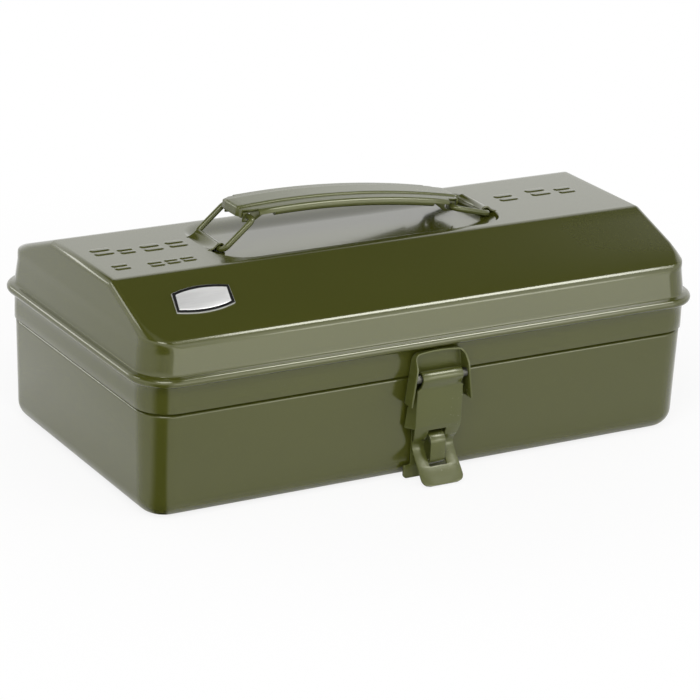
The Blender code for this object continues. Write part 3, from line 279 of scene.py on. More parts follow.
# Dark card on the floor: its corner, and where its edges fade, in degrees round from the left
DARK_CARD_CORNER = (-0.126, -0.061, 0.0003)
DARK_CARD_LEFT = (12.0, 42.0)
DARK_CARD_RIGHT = (66.0, 78.0)
DARK_CARD_LEVEL = 0.04

# Floor: the level rises outward, from the middle as seen directly and from the box as seen in the gloss
FLOOR_HEIGHT = -0.0004
FLOOR_SEEN_SPAN = (0.14, 0.42)
FLOOR_SEEN_LEVELS = (0.86, 1.0)
FLOOR_MIRROR_SPAN = (-0.010, 0.040)
FLOOR_MIRROR_LEVELS = (0.15, 1.0)

# Room: how bright it is at each share of the height, from straight down to straight up
ROOM_LEVELS = ((0.0, 1.0), (0.5, 1.0), (0.60, 1.45), (0.70, 1.25), (0.80, 1.10), (0.85, 0.06),
               (0.95, 0.06), (1.0, 0.5))

# Camera
CAMERA_LENS = 158.51
CAMERA_PLACE = (-0.68743, -1.16541, 0.52867)
CAMERA_RIGHT = (0.86748608, -0.49598953, 0.03823978)
CAMERA_UP = (0.13919953, 0.31582057, 0.93855253)
CAMERA_BACK = (-0.47758914, -0.8088583, 0.34301146)

TOUCH = 0.00001  # points nearer than this are taken for one
SIDES = ((-1, "left"), (1, "right"))
ALONG_X = Matrix.Rotation(math.pi / 2, 4, "Y")


# Drawing tools

def clear_selection():
    if bpy.context.mode != "OBJECT":
        bpy.ops.object.mode_set(mode="OBJECT")
    bpy.ops.object.select_all(action="DESELECT")


def take(piece):
    clear_selection()
    piece.select_set(True)
    bpy.context.view_layer.objects.active = piece


def pick(kind, test):
    """Select in edit mode the points, edges or faces that pass the test."""
    bpy.ops.mesh.select_mode(type=kind)
    bpy.ops.mesh.select_all(action="DESELECT")
    mesh = bpy.context.object.data
    bm = bmesh.from_edit_mesh(mesh)
    for item in {"VERT": bm.verts, "EDGE": bm.edges, "FACE": bm.faces}[kind]:
        if test(item):
            item.select_set(True)
    bm.select_flush_mode()
    bmesh.update_edit_mesh(mesh)


def number_points():
    """Give each point of a new section its number, which every extrusion of it keeps."""
    mesh = bpy.context.object.data
    bm = bmesh.from_edit_mesh(mesh)
    numbers = bm.verts.layers.int.new("number")
    for index, vert in enumerate(bm.verts):
        vert[numbers] = index
    bmesh.update_edit_mesh(mesh)


def lay(points):
    """Lay the selected points of a section in their places."""
    mesh = bpy.context.object.data
    bm = bmesh.from_edit_mesh(mesh)
    numbers = bm.verts.layers.int["number"]
    for vert in bm.verts:
        if vert.select:
            vert.co = points[vert[numbers]]
    bmesh.update_edit_mesh(mesh)


def draw(name, sections, closed=True, capped=False):
    """Pull a section through its stations by extruding it from each to the next. Stays in edit mode."""
    clear_selection()
    count = len(sections[0])
    fill = "NGON" if capped else "NOTHING"
    bpy.ops.mesh.primitive_circle_add(vertices=count, fill_type=fill)
    piece = bpy.context.object
    piece.name = name
    bpy.ops.object.mode_set(mode="EDIT")
    number_points()
    if not closed:
        pick("EDGE", lambda edge: {vert.index for vert in edge.verts} == {0, count - 1})
        bpy.ops.mesh.delete(type="EDGE_FACE")
    bpy.ops.mesh.select_mode(type="VERT")
    bpy.ops.mesh.select_all(action="SELECT")
    lay(sections[0])
    for section in sections[1:]:
        bpy.ops.mesh.extrude_region_move()
        lay(section)
    return piece


def face_out():
    bpy.ops.mesh.select_all(action="SELECT")
    bpy.ops.mesh.normals_make_consistent(inside=False)


def face_towards(direction):
    """Turn an open sheet so that the face farthest along the direction looks that way."""
    face_out()
    direction = Vector(direction)
    bm = bmesh.from_edit_mesh(bpy.context.object.data)
    outer = max(bm.faces, key=lambda face: face.calc_center_median().dot(direction))
    if outer.normal.dot(direction) < 0:
        bpy.ops.mesh.flip_normals()


def weld(distance=0.000002):
    bpy.ops.mesh.select_all(action="SELECT")
    bpy.ops.mesh.remove_doubles(threshold=distance)


def work(piece, kind, **settings):
    """Add a modifier and apply it."""
    take(piece)
    step = piece.modifiers.new(kind.lower(), kind)
    for key, value in settings.items():
        setattr(step, key, value)
    bpy.ops.object.modifier_apply(modifier=step.name)


def round_edges(piece, width, segments=2, angle=50.0):
    work(piece, "BEVEL", width=width, segments=segments, limit_method="ANGLE",
         angle_limit=math.radians(angle))


def give_thickness(piece, sheet):
    """Make a bent surface a sheet of metal with slightly rounded cut edges."""
    work(piece, "SOLIDIFY", thickness=sheet, offset=-1.0, use_even_offset=True)
    round_edges(piece, CUT_EDGE)


def drop(piece):
    bpy.data.objects.remove(piece, do_unlink=True)


def cut(piece, tool, operation="DIFFERENCE"):
    work(piece, "BOOLEAN", object=tool, operation=operation, solver="EXACT")
    drop(tool)


def solid(name, sections):
    """A form pulled through its sections, closed at both ends."""
    piece = draw(name, sections, capped=True)
    face_out()
    clear_selection()
    return piece


def strip(name, sections, outward, sheet):
    """An open strip of sheet pulled through its sections, with its face turned outward."""
    piece = draw(name, sections, closed=False)
    face_towards(outward)
    give_thickness(piece, sheet)
    return piece


def spun(name, profile):
    """A turned form about Z from its half section of radius and height."""
    line = [Vector((radius, 0.0, height)) for radius, height in profile]
    piece = draw(name, [line], closed=False)
    bpy.ops.mesh.spin(steps=28, angle=math.tau, center=(0, 0, 0), axis=(0, 0, 1))
    weld()
    face_out()
    clear_selection()
    return piece


def settle(piece, body, slot=None, nodes=(), material=None, angle=35.0):
    """Finish a piece: its place goes into its mesh, and it rides on its body in place of its solids."""
    take(piece)
    bpy.ops.object.transform_apply()
    bpy.ops.object.shade_smooth_by_angle(angle=math.radians(angle))
    piece.data.materials.clear()
    piece.data.materials.append(material or PAINTS[slot])
    piece.data.name = piece.name
    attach(piece, body)
    if nodes:
        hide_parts(*nodes)
    clear_selection()


def twin(piece, name, change):
    """A copy with its own mesh, moved by a matrix."""
    other = piece.copy()
    other.data = piece.data.copy()
    other.name = name
    bpy.context.scene.collection.objects.link(other)
    other.data.transform(change)
    return other


# Lines

def arc(centre, radius, start, end, steps):
    points = []
    for step in range(steps + 1):
        angle = math.radians(start + (end - start) * step / steps)
        points.append((centre[0] + radius * math.cos(angle), centre[1] + radius * math.sin(angle)))
    return points


def shares(steps, first=0):
    """Shares of a way in even steps, from the first step to the last."""
    return [step / steps for step in range(first, steps + 1)]


def between(start, end, share):
    return start + (end - start) * share


def ease(share):
    return share * share * (3 - 2 * share)


def within(value):
    return max(0.0, min(1.0, value))


def both_sides(half):
    """A half outline and its mirror image, one after the other."""
    return half + [(-x, z) for x, z in reversed(half)]


def both_ends(end):
    """A half section of one end and its mirror image, one after the other."""
    return end + [(radius, -height) for radius, height in reversed(end)]


def upright(outline, y):
    """An outline of x and z, stood up at one depth."""
    return [Vector((x, y, z)) for x, z in outline]


def ring(half_x, half_y, round_x, round_y, height, start=0.0, steps=10):
    """A level rounded rectangle; its corner arcs may begin late, where an end edge is rounded over."""
    points = []
    for side_x, side_y, turned in ((1, 1, False), (-1, 1, True), (-1, -1, False), (1, -1, True)):
        for share in shares(steps):
            angle = math.radians(between(start, 90, 1 - share if turned else share))
            points.append(Vector((side_x * (half_x - round_x + round_x * math.cos(angle)),
                                  side_y * (half_y - round_y + round_y * math.sin(angle)), height)))
    return points


def even_ring(outline, inset, height):
    half_x, half_y, corner = outline
    return ring(half_x - inset, half_y - inset, corner - inset, corner - inset, height)


def rounded_line(points, radii, steps=8):
    """A line whose inner corners are rounded."""
    points = [Vector(point) for point in points]
    line = [points[0]]
    for index in range(1, len(points) - 1):
        corner = points[index]
        back = (points[index - 1] - corner).normalized()
        ahead = (points[index + 1] - corner).normalized()
        half = back.angle(ahead) / 2
        radius = radii[index - 1]
        centre = corner + (back + ahead).normalized() * radius / math.sin(half)
        first = corner + back * radius / math.tan(half) - centre
        last = corner + ahead * radius / math.tan(half) - centre
        sweep = first.angle(last)
        for t in shares(steps):
            spoke = (first * math.sin((1 - t) * sweep) + last * math.sin(t * sweep)) / math.sin(sweep)
            line.append(centre + spoke)
    line.append(points[-1])
    return line


def flowing_line(points, steps):
    """A smooth line through the points."""
    points = [Vector(point) for point in points]
    points = [2 * points[0] - points[1]] + points + [2 * points[-1] - points[-2]]
    path = []
    for index in range(1, len(points) - 2):
        before, start, end, after = points[index - 1:index + 3]
        for t in shares(steps)[:-1]:
            path.append(0.5 * (2 * start + (end - before) * t
                               + (2 * before - 5 * start + 4 * end - after) * t * t
                               + (3 * start - before - 3 * end + after) * t * t * t))
    path.append(points[-2])
    return path


def set_in(line, distance):
    """An open line of x and z moved sideways to its right."""
    moved = []
    for index, point in enumerate(line):
        before = line[max(0, index - 1)]
        after = line[min(len(line) - 1, index + 1)]
        along = (Vector(after) - Vector(before)).normalized()
        moved.append((point[0] + along.y * distance, point[1] - along.x * distance))
    return moved


# Materials

def feed(tree, node, feeds):
    """Give a node's inputs, by name or number, a value or another node's output."""
    for key, value in feeds.items():
        if isinstance(value, bpy.types.NodeSocket):
            tree.links.new(value, node.inputs[key])
        else:
            node.inputs[key].default_value = value


def add_node(tree, kind, feeds=None, **settings):
    """Add a node with its settings and what feeds its inputs."""
    node = tree.nodes.new(kind)
    for key, value in settings.items():
        setattr(node, key, value)
    feed(tree, node, feeds or {})
    return node


def reckon(tree, operation, *terms):
    return add_node(tree, "ShaderNodeMath", dict(enumerate(terms)), operation=operation).outputs[0]


def noise(tree, place, scale, detail):
    feeds = {"Vector": place, "Scale": scale, "Detail": detail}
    return add_node(tree, "ShaderNodeTexNoise", feeds).outputs["Fac"]


def fade(tree, value, span, levels=(0.0, 1.0)):
    """Ease from one level to another over a span of the value."""
    feeds = {"Value": value, "From Min": span[0], "From Max": span[1],
             "To Min": levels[0], "To Max": levels[1]}
    return add_node(tree, "ShaderNodeMapRange", feeds, interpolation_type="SMOOTHSTEP").outputs["Result"]


def mix_surface(tree, share, first, second):
    mix = add_node(tree, "ShaderNodeMixShader", {0: share, 1: first.outputs[0], 2: second.outputs[0]})
    feed(tree, tree.nodes["Material Output"], {"Surface": mix.outputs[0]})


def new_material(name):
    material = bpy.data.materials.new(name)
    material.use_nodes = True
    return material, material.node_tree, material.node_tree.nodes["Principled BSDF"]


def enamel_group():
    """Gloss enamel on pressed sheet: faint cloudiness, orange peel, small specks of dust, and its colour."""
    group = bpy.data.node_groups.new("gloss_enamel", "ShaderNodeTree")
    for name, kind, value in (("Paint", "NodeSocketColor", (0.06, 0.07, 0.012, 1.0)),
                              ("Clouds", "NodeSocketFloat", 0.08), ("Roughness", "NodeSocketFloat", 0.2),
                              ("Peel", "NodeSocketFloat", 0.05), ("Dust", "NodeSocketFloat", 0.05)):
        made = group.interface.new_socket(name=name, in_out="INPUT", socket_type=kind)
        made.default_value = value
    for name, kind in (("Color", "NodeSocketColor"), ("Roughness", "NodeSocketFloat"),
                       ("Normal", "NodeSocketVector")):
        group.interface.new_socket(name=name, in_out="OUTPUT", socket_type=kind)
    given = add_node(group, "NodeGroupInput").outputs
    place = add_node(group, "ShaderNodeTexCoord").outputs["Object"]
    clouds = reckon(group, "SUBTRACT", noise(group, place, CLOUD_SCALE, 3.0), 0.5)
    amount = reckon(group, "MULTIPLY_ADD", clouds, given["Clouds"], 1.0)
    tint = add_node(group, "ShaderNodeVectorMath", {0: given["Paint"], "Scale": amount}, operation="SCALE")
    specks = add_node(group, "ShaderNodeMapRange", {"Value": noise(group, place, SPECK_SCALE, 1.0),
                                                    "From Min": SPECK_SPAN[0], "From Max": SPECK_SPAN[1]})
    dust = reckon(group, "MULTIPLY", specks.outputs["Result"], given["Dust"])
    dusty = add_node(group, "ShaderNodeMix", {"Factor": dust, "A": tint.outputs[0], "B": DUST_COLOUR},
                     data_type="RGBA")
    smudges = noise(group, place, SMUDGE_SCALE, 2.0)
    smudged = reckon(group, "MULTIPLY_ADD", smudges, SMUDGE_AMOUNT, given["Roughness"])
    rough = reckon(group, "MULTIPLY_ADD", dust, SPECK_ROUGHNESS, smudged)
    peel = add_node(group, "ShaderNodeBump", {"Distance": PEEL_DEPTH, "Strength": given["Peel"],
                                              "Height": noise(group, place, PEEL_SCALE, 1.5)})
    add_node(group, "NodeGroupOutput", {"Color": dusty.outputs["Result"], "Roughness": rough,
                                        "Normal": peel.outputs["Normal"]})
    return group


def enamel(name, group, paint, roughness, peel, clouds=0.10, dust=0.05, coat=0.25):
    material, tree, shader = new_material(name)
    look = add_node(tree, "ShaderNodeGroup", node_tree=group)
    feed(tree, look, {"Paint": (*paint, 1.0), "Clouds": clouds, "Roughness": roughness, "Peel": peel,
                      "Dust": dust})
    feed(tree, shader, {"Base Color": look.outputs["Color"], "Roughness": look.outputs["Roughness"],
                        "Normal": look.outputs["Normal"], "IOR": 1.55, "Coat Weight": coat,
                        "Coat Roughness": 0.06, "Specular Tint": OLIVE_GLOSS})
    return material


def metal(name, colour, roughness, scratch_scale, stretch, metallic=1.0):
    """Bright metal with fine scratches, drawn along X or turned about it."""
    material, tree, shader = new_material(name)
    place = add_node(tree, "ShaderNodeTexCoord").outputs["Object"]
    stretched = add_node(tree, "ShaderNodeMapping", {"Vector": place, "Scale": (stretch, 1.0, 1.0)})
    grain = noise(tree, stretched.outputs["Vector"], scratch_scale, 4.0)
    dark = [value * SCRATCH_SHADE for value in colour]
    tone = add_node(tree, "ShaderNodeMix", {"A": (*dark, 1.0), "B": (*colour, 1.0), "Factor": grain},
                    data_type="RGBA")
    bump = add_node(tree, "ShaderNodeBump", {"Strength": 0.15, "Distance": SCRATCH_DEPTH, "Height": grain})
    feed(tree, shader, {"Metallic": metallic, "Base Color": tone.outputs["Result"],
                        "Roughness": reckon(tree, "MULTIPLY_ADD", grain, SCRATCH_ROUGHNESS, roughness),
                        "Normal": bump.outputs["Normal"]})
    return material


gloss = enamel_group()
BODY_PAINT = enamel("olive_enamel", gloss, (0.051, 0.055, 0.007), 0.14, 0.10, dust=0.015)
FITTING_PAINT = enamel("olive_enamel_on_fittings", gloss, (0.063, 0.070, 0.014), 0.23, 0.16,
                       clouds=0.14, dust=0.02, coat=0.0)
PIN_STEEL = metal("zinc_on_pins", (0.10, 0.10, 0.085), 0.40, 900.0, stretch=20.0)
BADGE_FACE = metal("brushed_badge_face", (0.74, 0.74, 0.73), 0.30, 1500.0, stretch=0.04, metallic=0.4)
BADGE_BLACK = enamel("black_badge_border", gloss, (0.008, 0.008, 0.009), 0.18, 0.05, dust=0.0)
PAINTS = {"body_paint": BODY_PAINT, "fitting_paint": FITTING_PAINT, "pin_steel": PIN_STEEL}


# Tray

def tray_outline(height):
    inset = TRAY_DRAFT * (1 - min(height, SHOULDER) / SHOULDER)
    return TRAY_HALF_LENGTH - inset, TRAY_HALF_DEPTH - inset, TRAY_CORNER - inset


def rivet_holes_in(piece, places, start_y, end_y):
    for x, z in places:
        clear_selection()
        bpy.ops.mesh.primitive_cylinder_add(
            vertices=32, radius=RIVET_SHANK + SEAT_GAP / 2, depth=abs(end_y - start_y),
            location=(x, (start_y + end_y) / 2, z), rotation=(math.pi / 2, 0, 0))
        cut(piece, bpy.context.object)


def make_tray():
    foot = tray_outline(TRAY_FLOOR_RADIUS)
    bend = arc((TRAY_FLOOR_RADIUS, TRAY_FLOOR_RADIUS), TRAY_FLOOR_RADIUS, 270, 180, 8)
    rings = [even_ring(foot, inset, height) for inset, height in bend]
    shoulder = tray_outline(SHOULDER)
    rings += [even_ring(shoulder, 0.0, SHOULDER - SHOULDER_RISE / part) for part in (4, 24)]
    rings += [even_ring(shoulder, COLLAR_INSET * ease(share), SHOULDER + SHOULDER_RISE * share)
              for share in shares(8, first=1)]
    bend = arc((COLLAR_INSET + RIM_BEND, RIM_HEIGHT - RIM_BEND), RIM_BEND, 180, 90, 6)
    rings += [even_ring(shoulder, inset, height) for inset, height in bend]
    rings.append(even_ring(shoulder, COLLAR_INSET + RIM_FLANGE, RIM_HEIGHT))
    tray = draw("tray_pressing", rings)
    pick("VERT", lambda vert: vert.co.z < TOUCH)
    bpy.ops.mesh.edge_face_add()
    face_towards((1, 0, 0))
    give_thickness(tray, BODY_SHEET)
    hinge_holes = [(side * HINGE_X + end * RIVET_SPAN / 2, RIVET_Z) for side in (-1, 1) for end in (-1, 1)]
    rivet_holes_in(tray, hinge_holes, TRAY_HALF_DEPTH - HOLE_IN, TRAY_HALF_DEPTH + HOLE_OUT)
    rivet_holes_in(tray, [(side * CATCH_RIVET_X, CATCH_RIVET_Z) for side in (-1, 1)],
                   -TRAY_HALF_DEPTH + HOLE_IN, -TRAY_HALF_DEPTH - HOLE_OUT)
    settle(tray, "box", "body_paint", ["body_tray"])


# Lid

def lid_line():
    """Half depth and height of the lid from the top of the bead to the flat on the top."""
    eave_y = SKIRT_HALF_DEPTH - WALL_DRAFT
    upright_slope = 90 - math.degrees(SLOPE)
    bend = arc((eave_y - EAVE_RADIUS, WALL_TOP), EAVE_RADIUS, EAVE_LEAN, upright_slope, 12)
    low_y, low_z = bend[0]
    wall = [(between(SKIRT_HALF_DEPTH, low_y, share), between(WALL_FOOT, low_z, share))
            for share in shares(6)[1:-1]]
    ridge_y = TOP_HALF_DEPTH - RIDGE_RADIUS * math.tan(SLOPE / 2)
    ridge = arc((ridge_y, TOP_HEIGHT - RIDGE_RADIUS), RIDGE_RADIUS, upright_slope, 90.0, 8)
    low_y, low_z = bend[-1]
    high_y, high_z = ridge[0]
    edge_foot = TOP_HEIGHT - GABLE_EDGE
    heights = [between(low_z, edge_foot, share) for share in shares(5, first=1)]
    heights += [edge_foot + GABLE_EDGE * math.sin(math.radians(angle)) for angle in range(6, 90, 6)]
    face = [(between(low_y, high_y, (height - low_z) / (high_z - low_z)), height)
            for height in heights if height < high_z - 0.00002]
    return wall + bend + face + ridge


def lid_ring(half_y, height):
    blend = ease(within((height - WALL_TOP) / (EAVE_HEIGHT + CORNER_RUN - WALL_TOP)))
    gable_share = within((height - WALL_TOP) / (TOP_HEIGHT - WALL_TOP))
    lean = within((height - WALL_FOOT) / (WALL_TOP - WALL_FOOT))
    half_x = SKIRT_HALF_LENGTH - WALL_DRAFT * lean - GABLE_DRAFT * gable_share
    round_x = between(SKIRT_CORNER, GABLE_EDGE, blend)
    round_y = between(SKIRT_CORNER, GABLE_EDGE / math.sin(SLOPE), blend)
    over = within((height - (TOP_HEIGHT - GABLE_EDGE)) / GABLE_EDGE)
    return ring(half_x, half_y, round_x, round_y, height, math.degrees(math.asin(over)))


def dish_ring(share, room=0.0):
    half_x = DISH_HALF_LENGTH - DISH_SLOPE_X * share + room
    half_y = DISH_HALF_DEPTH - DISH_SLOPE_Y * share + room
    corner = DISH_CORNER - DISH_SLOPE_X * share + room
    points = ring(half_x, half_y, corner, corner, TOP_HEIGHT - DISH_DEPTH * ease(share))
    for point in points:
        point.y *= 1.0 - DISH_BACK_SHARE * share if point.y > 0.0 else DISH_FRONT_SHARE
    return [point + Vector((HANDLE_SHIFT, 0, 0)) for point in points]


def make_lid():
    skirt = (SKIRT_HALF_LENGTH, SKIRT_HALF_DEPTH, SKIRT_CORNER)
    bead_foot = BEAD_HEIGHT - BEAD_RADIUS - BEAD_FILLET - SKIRT_FOOT
    rings = [even_ring(skirt, 0.0, SKIRT_FOOT + bead_foot * share) for share in (0.0, 0.33, 0.66, 1.0)]
    rings.append(even_ring(skirt, -BEAD_FILLET * 0.3, BEAD_HEIGHT - BEAD_RADIUS - BEAD_FILLET * 0.3))
    bead = arc((BEAD_REACH - BEAD_RADIUS, BEAD_HEIGHT), BEAD_RADIUS, -90, 90, 12)
    rings += [even_ring(skirt, -reach, height) for reach, height in bead]
    rings.append(even_ring(skirt, -BEAD_FILLET * 0.3, BEAD_HEIGHT + BEAD_RADIUS + BEAD_FILLET * 0.3))
    rings.append(even_ring(skirt, 0.0, WALL_FOOT))
    rings += [lid_ring(half_y, height) for half_y, height in lid_line()]
    rings.append([Vector((point.x * LEVEL_SHARE, point.y * LEVEL_SHARE, point.z)) for point in rings[-1]])
    rings.append(dish_ring(0.0, DISH_LIP))
    rings += [dish_ring(share) for share in shares(12)]
    rings.append([Vector((between(HANDLE_SHIFT, point.x, LEVEL_SHARE), point.y * DISH_MIDDLE_SHARE, point.z))
                  for point in rings[-1]])
    lid = draw("lid_pressing", rings)
    bpy.ops.mesh.edge_face_add()
    weld()
    face_towards((1, 0, 0))
    give_thickness(lid, BODY_SHEET)
    settle(lid, "lid", "body_paint", ["lid_shell"])


def make_marks():
    """Short stiffening ribs pressed up in the top, two above each other in each place."""
    number = 0
    for x, y, length in MARK_PLACES:
        half = length * MARK_HALF_SHARE
        end = length / 2 - half
        sections = []
        for grow, rise in MARK_SECTION:
            line = arc((end, 0.0), half + grow, -90, 90, 12) + arc((-end, 0.0), half + grow, 90, 270, 12)
            sections.append([Vector((px, py, TOP_HEIGHT + rise)) for px, py in line])
        rib = draw("pressed_rib", sections)
        bpy.ops.mesh.edge_face_add()
        face_towards((0, 0, 1))
        clear_selection()
        for share in (-0.5, 0.5):
            number += 1
            move = Matrix.Translation((x, y + length * MARK_PITCH_SHARE * share, 0.0))
            settle(twin(rib, "pressed_rib_" + str(number), move), "lid", "body_paint")
        drop(rib)


# Badge

def on_slope(x, y, lift):
    """A point of the front slope over x and y, lifted square to it."""
    height = TOP_HEIGHT - (-TOP_HALF_DEPTH - y) * math.tan(SLOPE)
    return Vector((x, y - lift * math.sin(SLOPE), height + lift * math.cos(SLOPE)))


def badge_line(inset, lift):
    """The badge's outline: straight leaning ends and bowed long sides."""
    corners = [Vector(corner) for corner in BADGE_CORNERS]
    centre = sum(corners, Vector((0, 0))) / 4
    half = Vector(BADGE_HALF)
    line = []
    for index, (start, end) in enumerate(zip(corners, corners[1:] + corners[:1])):
        side = end - start
        outward = Vector((-side.y, side.x)).normalized()
        bow = BADGE_BOW if index % 2 == 0 else 0.0
        for t in shares(12)[:-1]:
            away = start + side * t + outward * bow * 4 * t * (1 - t) - centre
            line.append(on_slope(centre.x + away.x * (1 - inset / half.x),
                                 centre.y + away.y * (1 - inset / half.y), lift))
    return line


def make_badge():
    """A bare silver plate with a black border, by each ring's inset and its lift from the slope."""
    top = BADGE_THICK
    inner = BADGE_BORDER + 0.0001
    base = ((-0.00012, -0.0001), (-0.00012, 0.0002), (-0.0001, top - 0.0002))
    border = ((0.0, 0.0001), (0.0, top - 0.00015), (0.00015, top), (BADGE_BORDER, top), (inner, top - 0.0002))
    face = ((inner, top - 0.00035), (inner, top - 0.0001), (BADGE_BORDER + 0.0004, top + 0.00005))
    for name, material, rings in (("badge_plate", BADGE_FACE, base), ("badge_border", BADGE_BLACK, border),
                                  ("badge_face", BADGE_FACE, face)):
        plate = solid(name, [badge_line(inset, lift) for inset, lift in rings])
        settle(plate, "lid", material=material, angle=30.0)


# Hinges

def make_leaf(name, odd, back, root, far):
    """A leaf pulled from its far edge to its root, with a tab rolled round the pin at each knuckle."""
    away = 1 if far > root else -1
    half = HINGE_LENGTH / 2 - SEAT_GAP / 2
    corner = arc((half - LEAF_CORNER, 0.0), LEAF_CORNER, 0.0, 90.0, 8)
    outline = both_sides([(half, root)] + [(x, far - away * (LEAF_CORNER - rise)) for x, rise in corner])
    front = back + FITTING_SHEET
    leaf = solid(name, [upright(outline, back), upright(outline, front)])
    begin = int(math.degrees(math.acos((front - HINGE_Y) / HINGE_RADIUS)))
    turns = arc((0.0, 0.0), HINGE_RADIUS, begin, begin + KNUCKLE_TURN, KNUCKLE_TURN // 10)
    roll = [(HINGE_Y + y, SHOULDER + away * z) for y, z in turns]
    roll += [(between(HINGE_Y, y, KNUCKLE_HOLLOW), between(SHOULDER, z, KNUCKLE_HOLLOW))
             for y, z in reversed(roll)]
    tab_low, tab_high = sorted((root + away * TAB_OVERLAP, SHOULDER + away * HINGE_RADIUS * TAB_REACH))
    pitch = HINGE_LENGTH / HINGE_KNUCKLES
    for index in range(odd, HINGE_KNUCKLES, 2):
        start = -HINGE_LENGTH / 2 + pitch * index + SEAT_GAP / 2
        end = -HINGE_LENGTH / 2 + pitch * (index + 1) - SEAT_GAP / 2
        knuckle = solid("knuckle", [[Vector((x, y, z)) for y, z in roll] for x in (start, end)])
        bpy.ops.mesh.primitive_cube_add(
            size=1.0, location=((start + end) / 2, back + FITTING_SHEET / 2, (tab_low + tab_high) / 2),
            scale=(end - start - TAB_INSET, FITTING_SHEET * 0.98, tab_high - tab_low))
        tab = bpy.context.object
        bpy.ops.object.transform_apply()
        cut(leaf, tab, "UNION")
        cut(leaf, knuckle, "UNION")
    return leaf


def make_rivet_form(name, grip):
    """A dome rivet standing on the origin, its head up."""
    dome = [(RIVET_HEAD * x, RIVET_DOME * z) for x, z in arc((0.0, 0.0), 1.0, 90, 0, 10)]
    return spun(name, dome + [(RIVET_SHANK, 0.0), (RIVET_SHANK, -grip), (RIVET_TAIL, -grip),
                              (RIVET_TAIL, -grip - RIVET_TAIL_THICK * 0.6),
                              (RIVET_TAIL * 0.8, -grip - RIVET_TAIL_THICK), (0.0, -grip - RIVET_TAIL_THICK)])


def inner_wall(height):
    """Half depth of the tray's inner face at a height."""
    return tray_outline(height)[1] - BODY_SHEET


def make_hinges():
    body_back = TRAY_HALF_DEPTH + SEAT_GAP
    lid_back = SKIRT_HALF_DEPTH + SEAT_GAP
    body_leaf = make_leaf("hinge_body_leaf", 0, body_back, SHOULDER - HINGE_CLEAR, SHOULDER - HINGE_LEAF_DOWN)
    rivet_holes_in(body_leaf, [(end * RIVET_SPAN / 2, RIVET_Z) for end in (-1, 1)],
                   body_back - HOLE_RUN, body_back + HOLE_OUT)
    lid_leaf = make_leaf("hinge_lid_leaf", 1, lid_back, SHOULDER + HINGE_CLEAR, SHOULDER + HINGE_LEAF_UP)
    for leaf in (body_leaf, lid_leaf):
        round_edges(leaf, FITTING_EDGE)
    half = HINGE_LENGTH / 2 + SEAT_GAP
    pin = spun("hinge_pin", both_ends([
        (0.0, half + HINGE_HEAD_LENGTH), (HINGE_PIN_HEAD * 0.7, half + HINGE_HEAD_LENGTH * 0.9),
        (HINGE_PIN_HEAD, half + HINGE_HEAD_LENGTH * 0.4), (HINGE_PIN_HEAD, half), (HINGE_PIN_RADIUS, half)]))
    under_head = body_back + FITTING_SHEET + SEAT_GAP / 2
    rivet = make_rivet_form("hinge_rivet", under_head - inner_wall(RIVET_Z) + SEAT_GAP / 2)
    out = Matrix.Rotation(-math.pi / 2, 4, "X")
    for side, word in SIDES:
        shift = Matrix.Translation((side * HINGE_X, 0, 0))
        settle(twin(body_leaf, "hinge_body_leaf_" + word, shift), "box", "fitting_paint",
               ["hinge_leaf_body_" + word])
        settle(twin(lid_leaf, "hinge_lid_leaf_" + word, shift), "lid", "fitting_paint",
               ["hinge_leaf_lid_" + word])
        lie = Matrix.Translation((side * HINGE_X, HINGE_Y, SHOULDER)) @ ALONG_X
        settle(twin(pin, "hinge_steel_pin_" + word, lie), "box", "pin_steel", ["hinge_pin_" + word])
        for number, end in (("_1", -1), ("_2", 1)):
            spot = Matrix.Translation((side * HINGE_X + end * RIVET_SPAN / 2, under_head, RIVET_Z)) @ out
            settle(twin(rivet, "hinge_dome_rivet_" + word + number, spot), "box",
                   "fitting_paint", ["hinge_rivet_" + word + number])
    for form in (body_leaf, lid_leaf, pin, rivet):
        drop(form)


# Latch

def bracket_line():
    corner_z = BRACKET_TOP - BRACKET_ARCH - BRACKET_CORNER
    fall = math.degrees(math.atan2(BRACKET_FOOT_HALF - BRACKET_TOP_HALF, corner_z - BRACKET_FOOT))
    corner = arc((BRACKET_TOP_HALF - BRACKET_CORNER, corner_z), BRACKET_CORNER, fall, 84.0, 10)
    first_x, first_z = corner[0]
    last_x, last_z = corner[-1]
    half = [(between(BRACKET_FOOT_HALF, first_x, share), between(BRACKET_FOOT, first_z, share))
            for share in shares(6)[:-1]] + corner
    half += [(last_x * (1 - share), between(last_z, BRACKET_TOP, 1 - (1 - share) ** 2))
             for share in shares(6)[1:-1]]
    return half + [(0.0, BRACKET_TOP)] + [(-x, z) for x, z in reversed(half)]


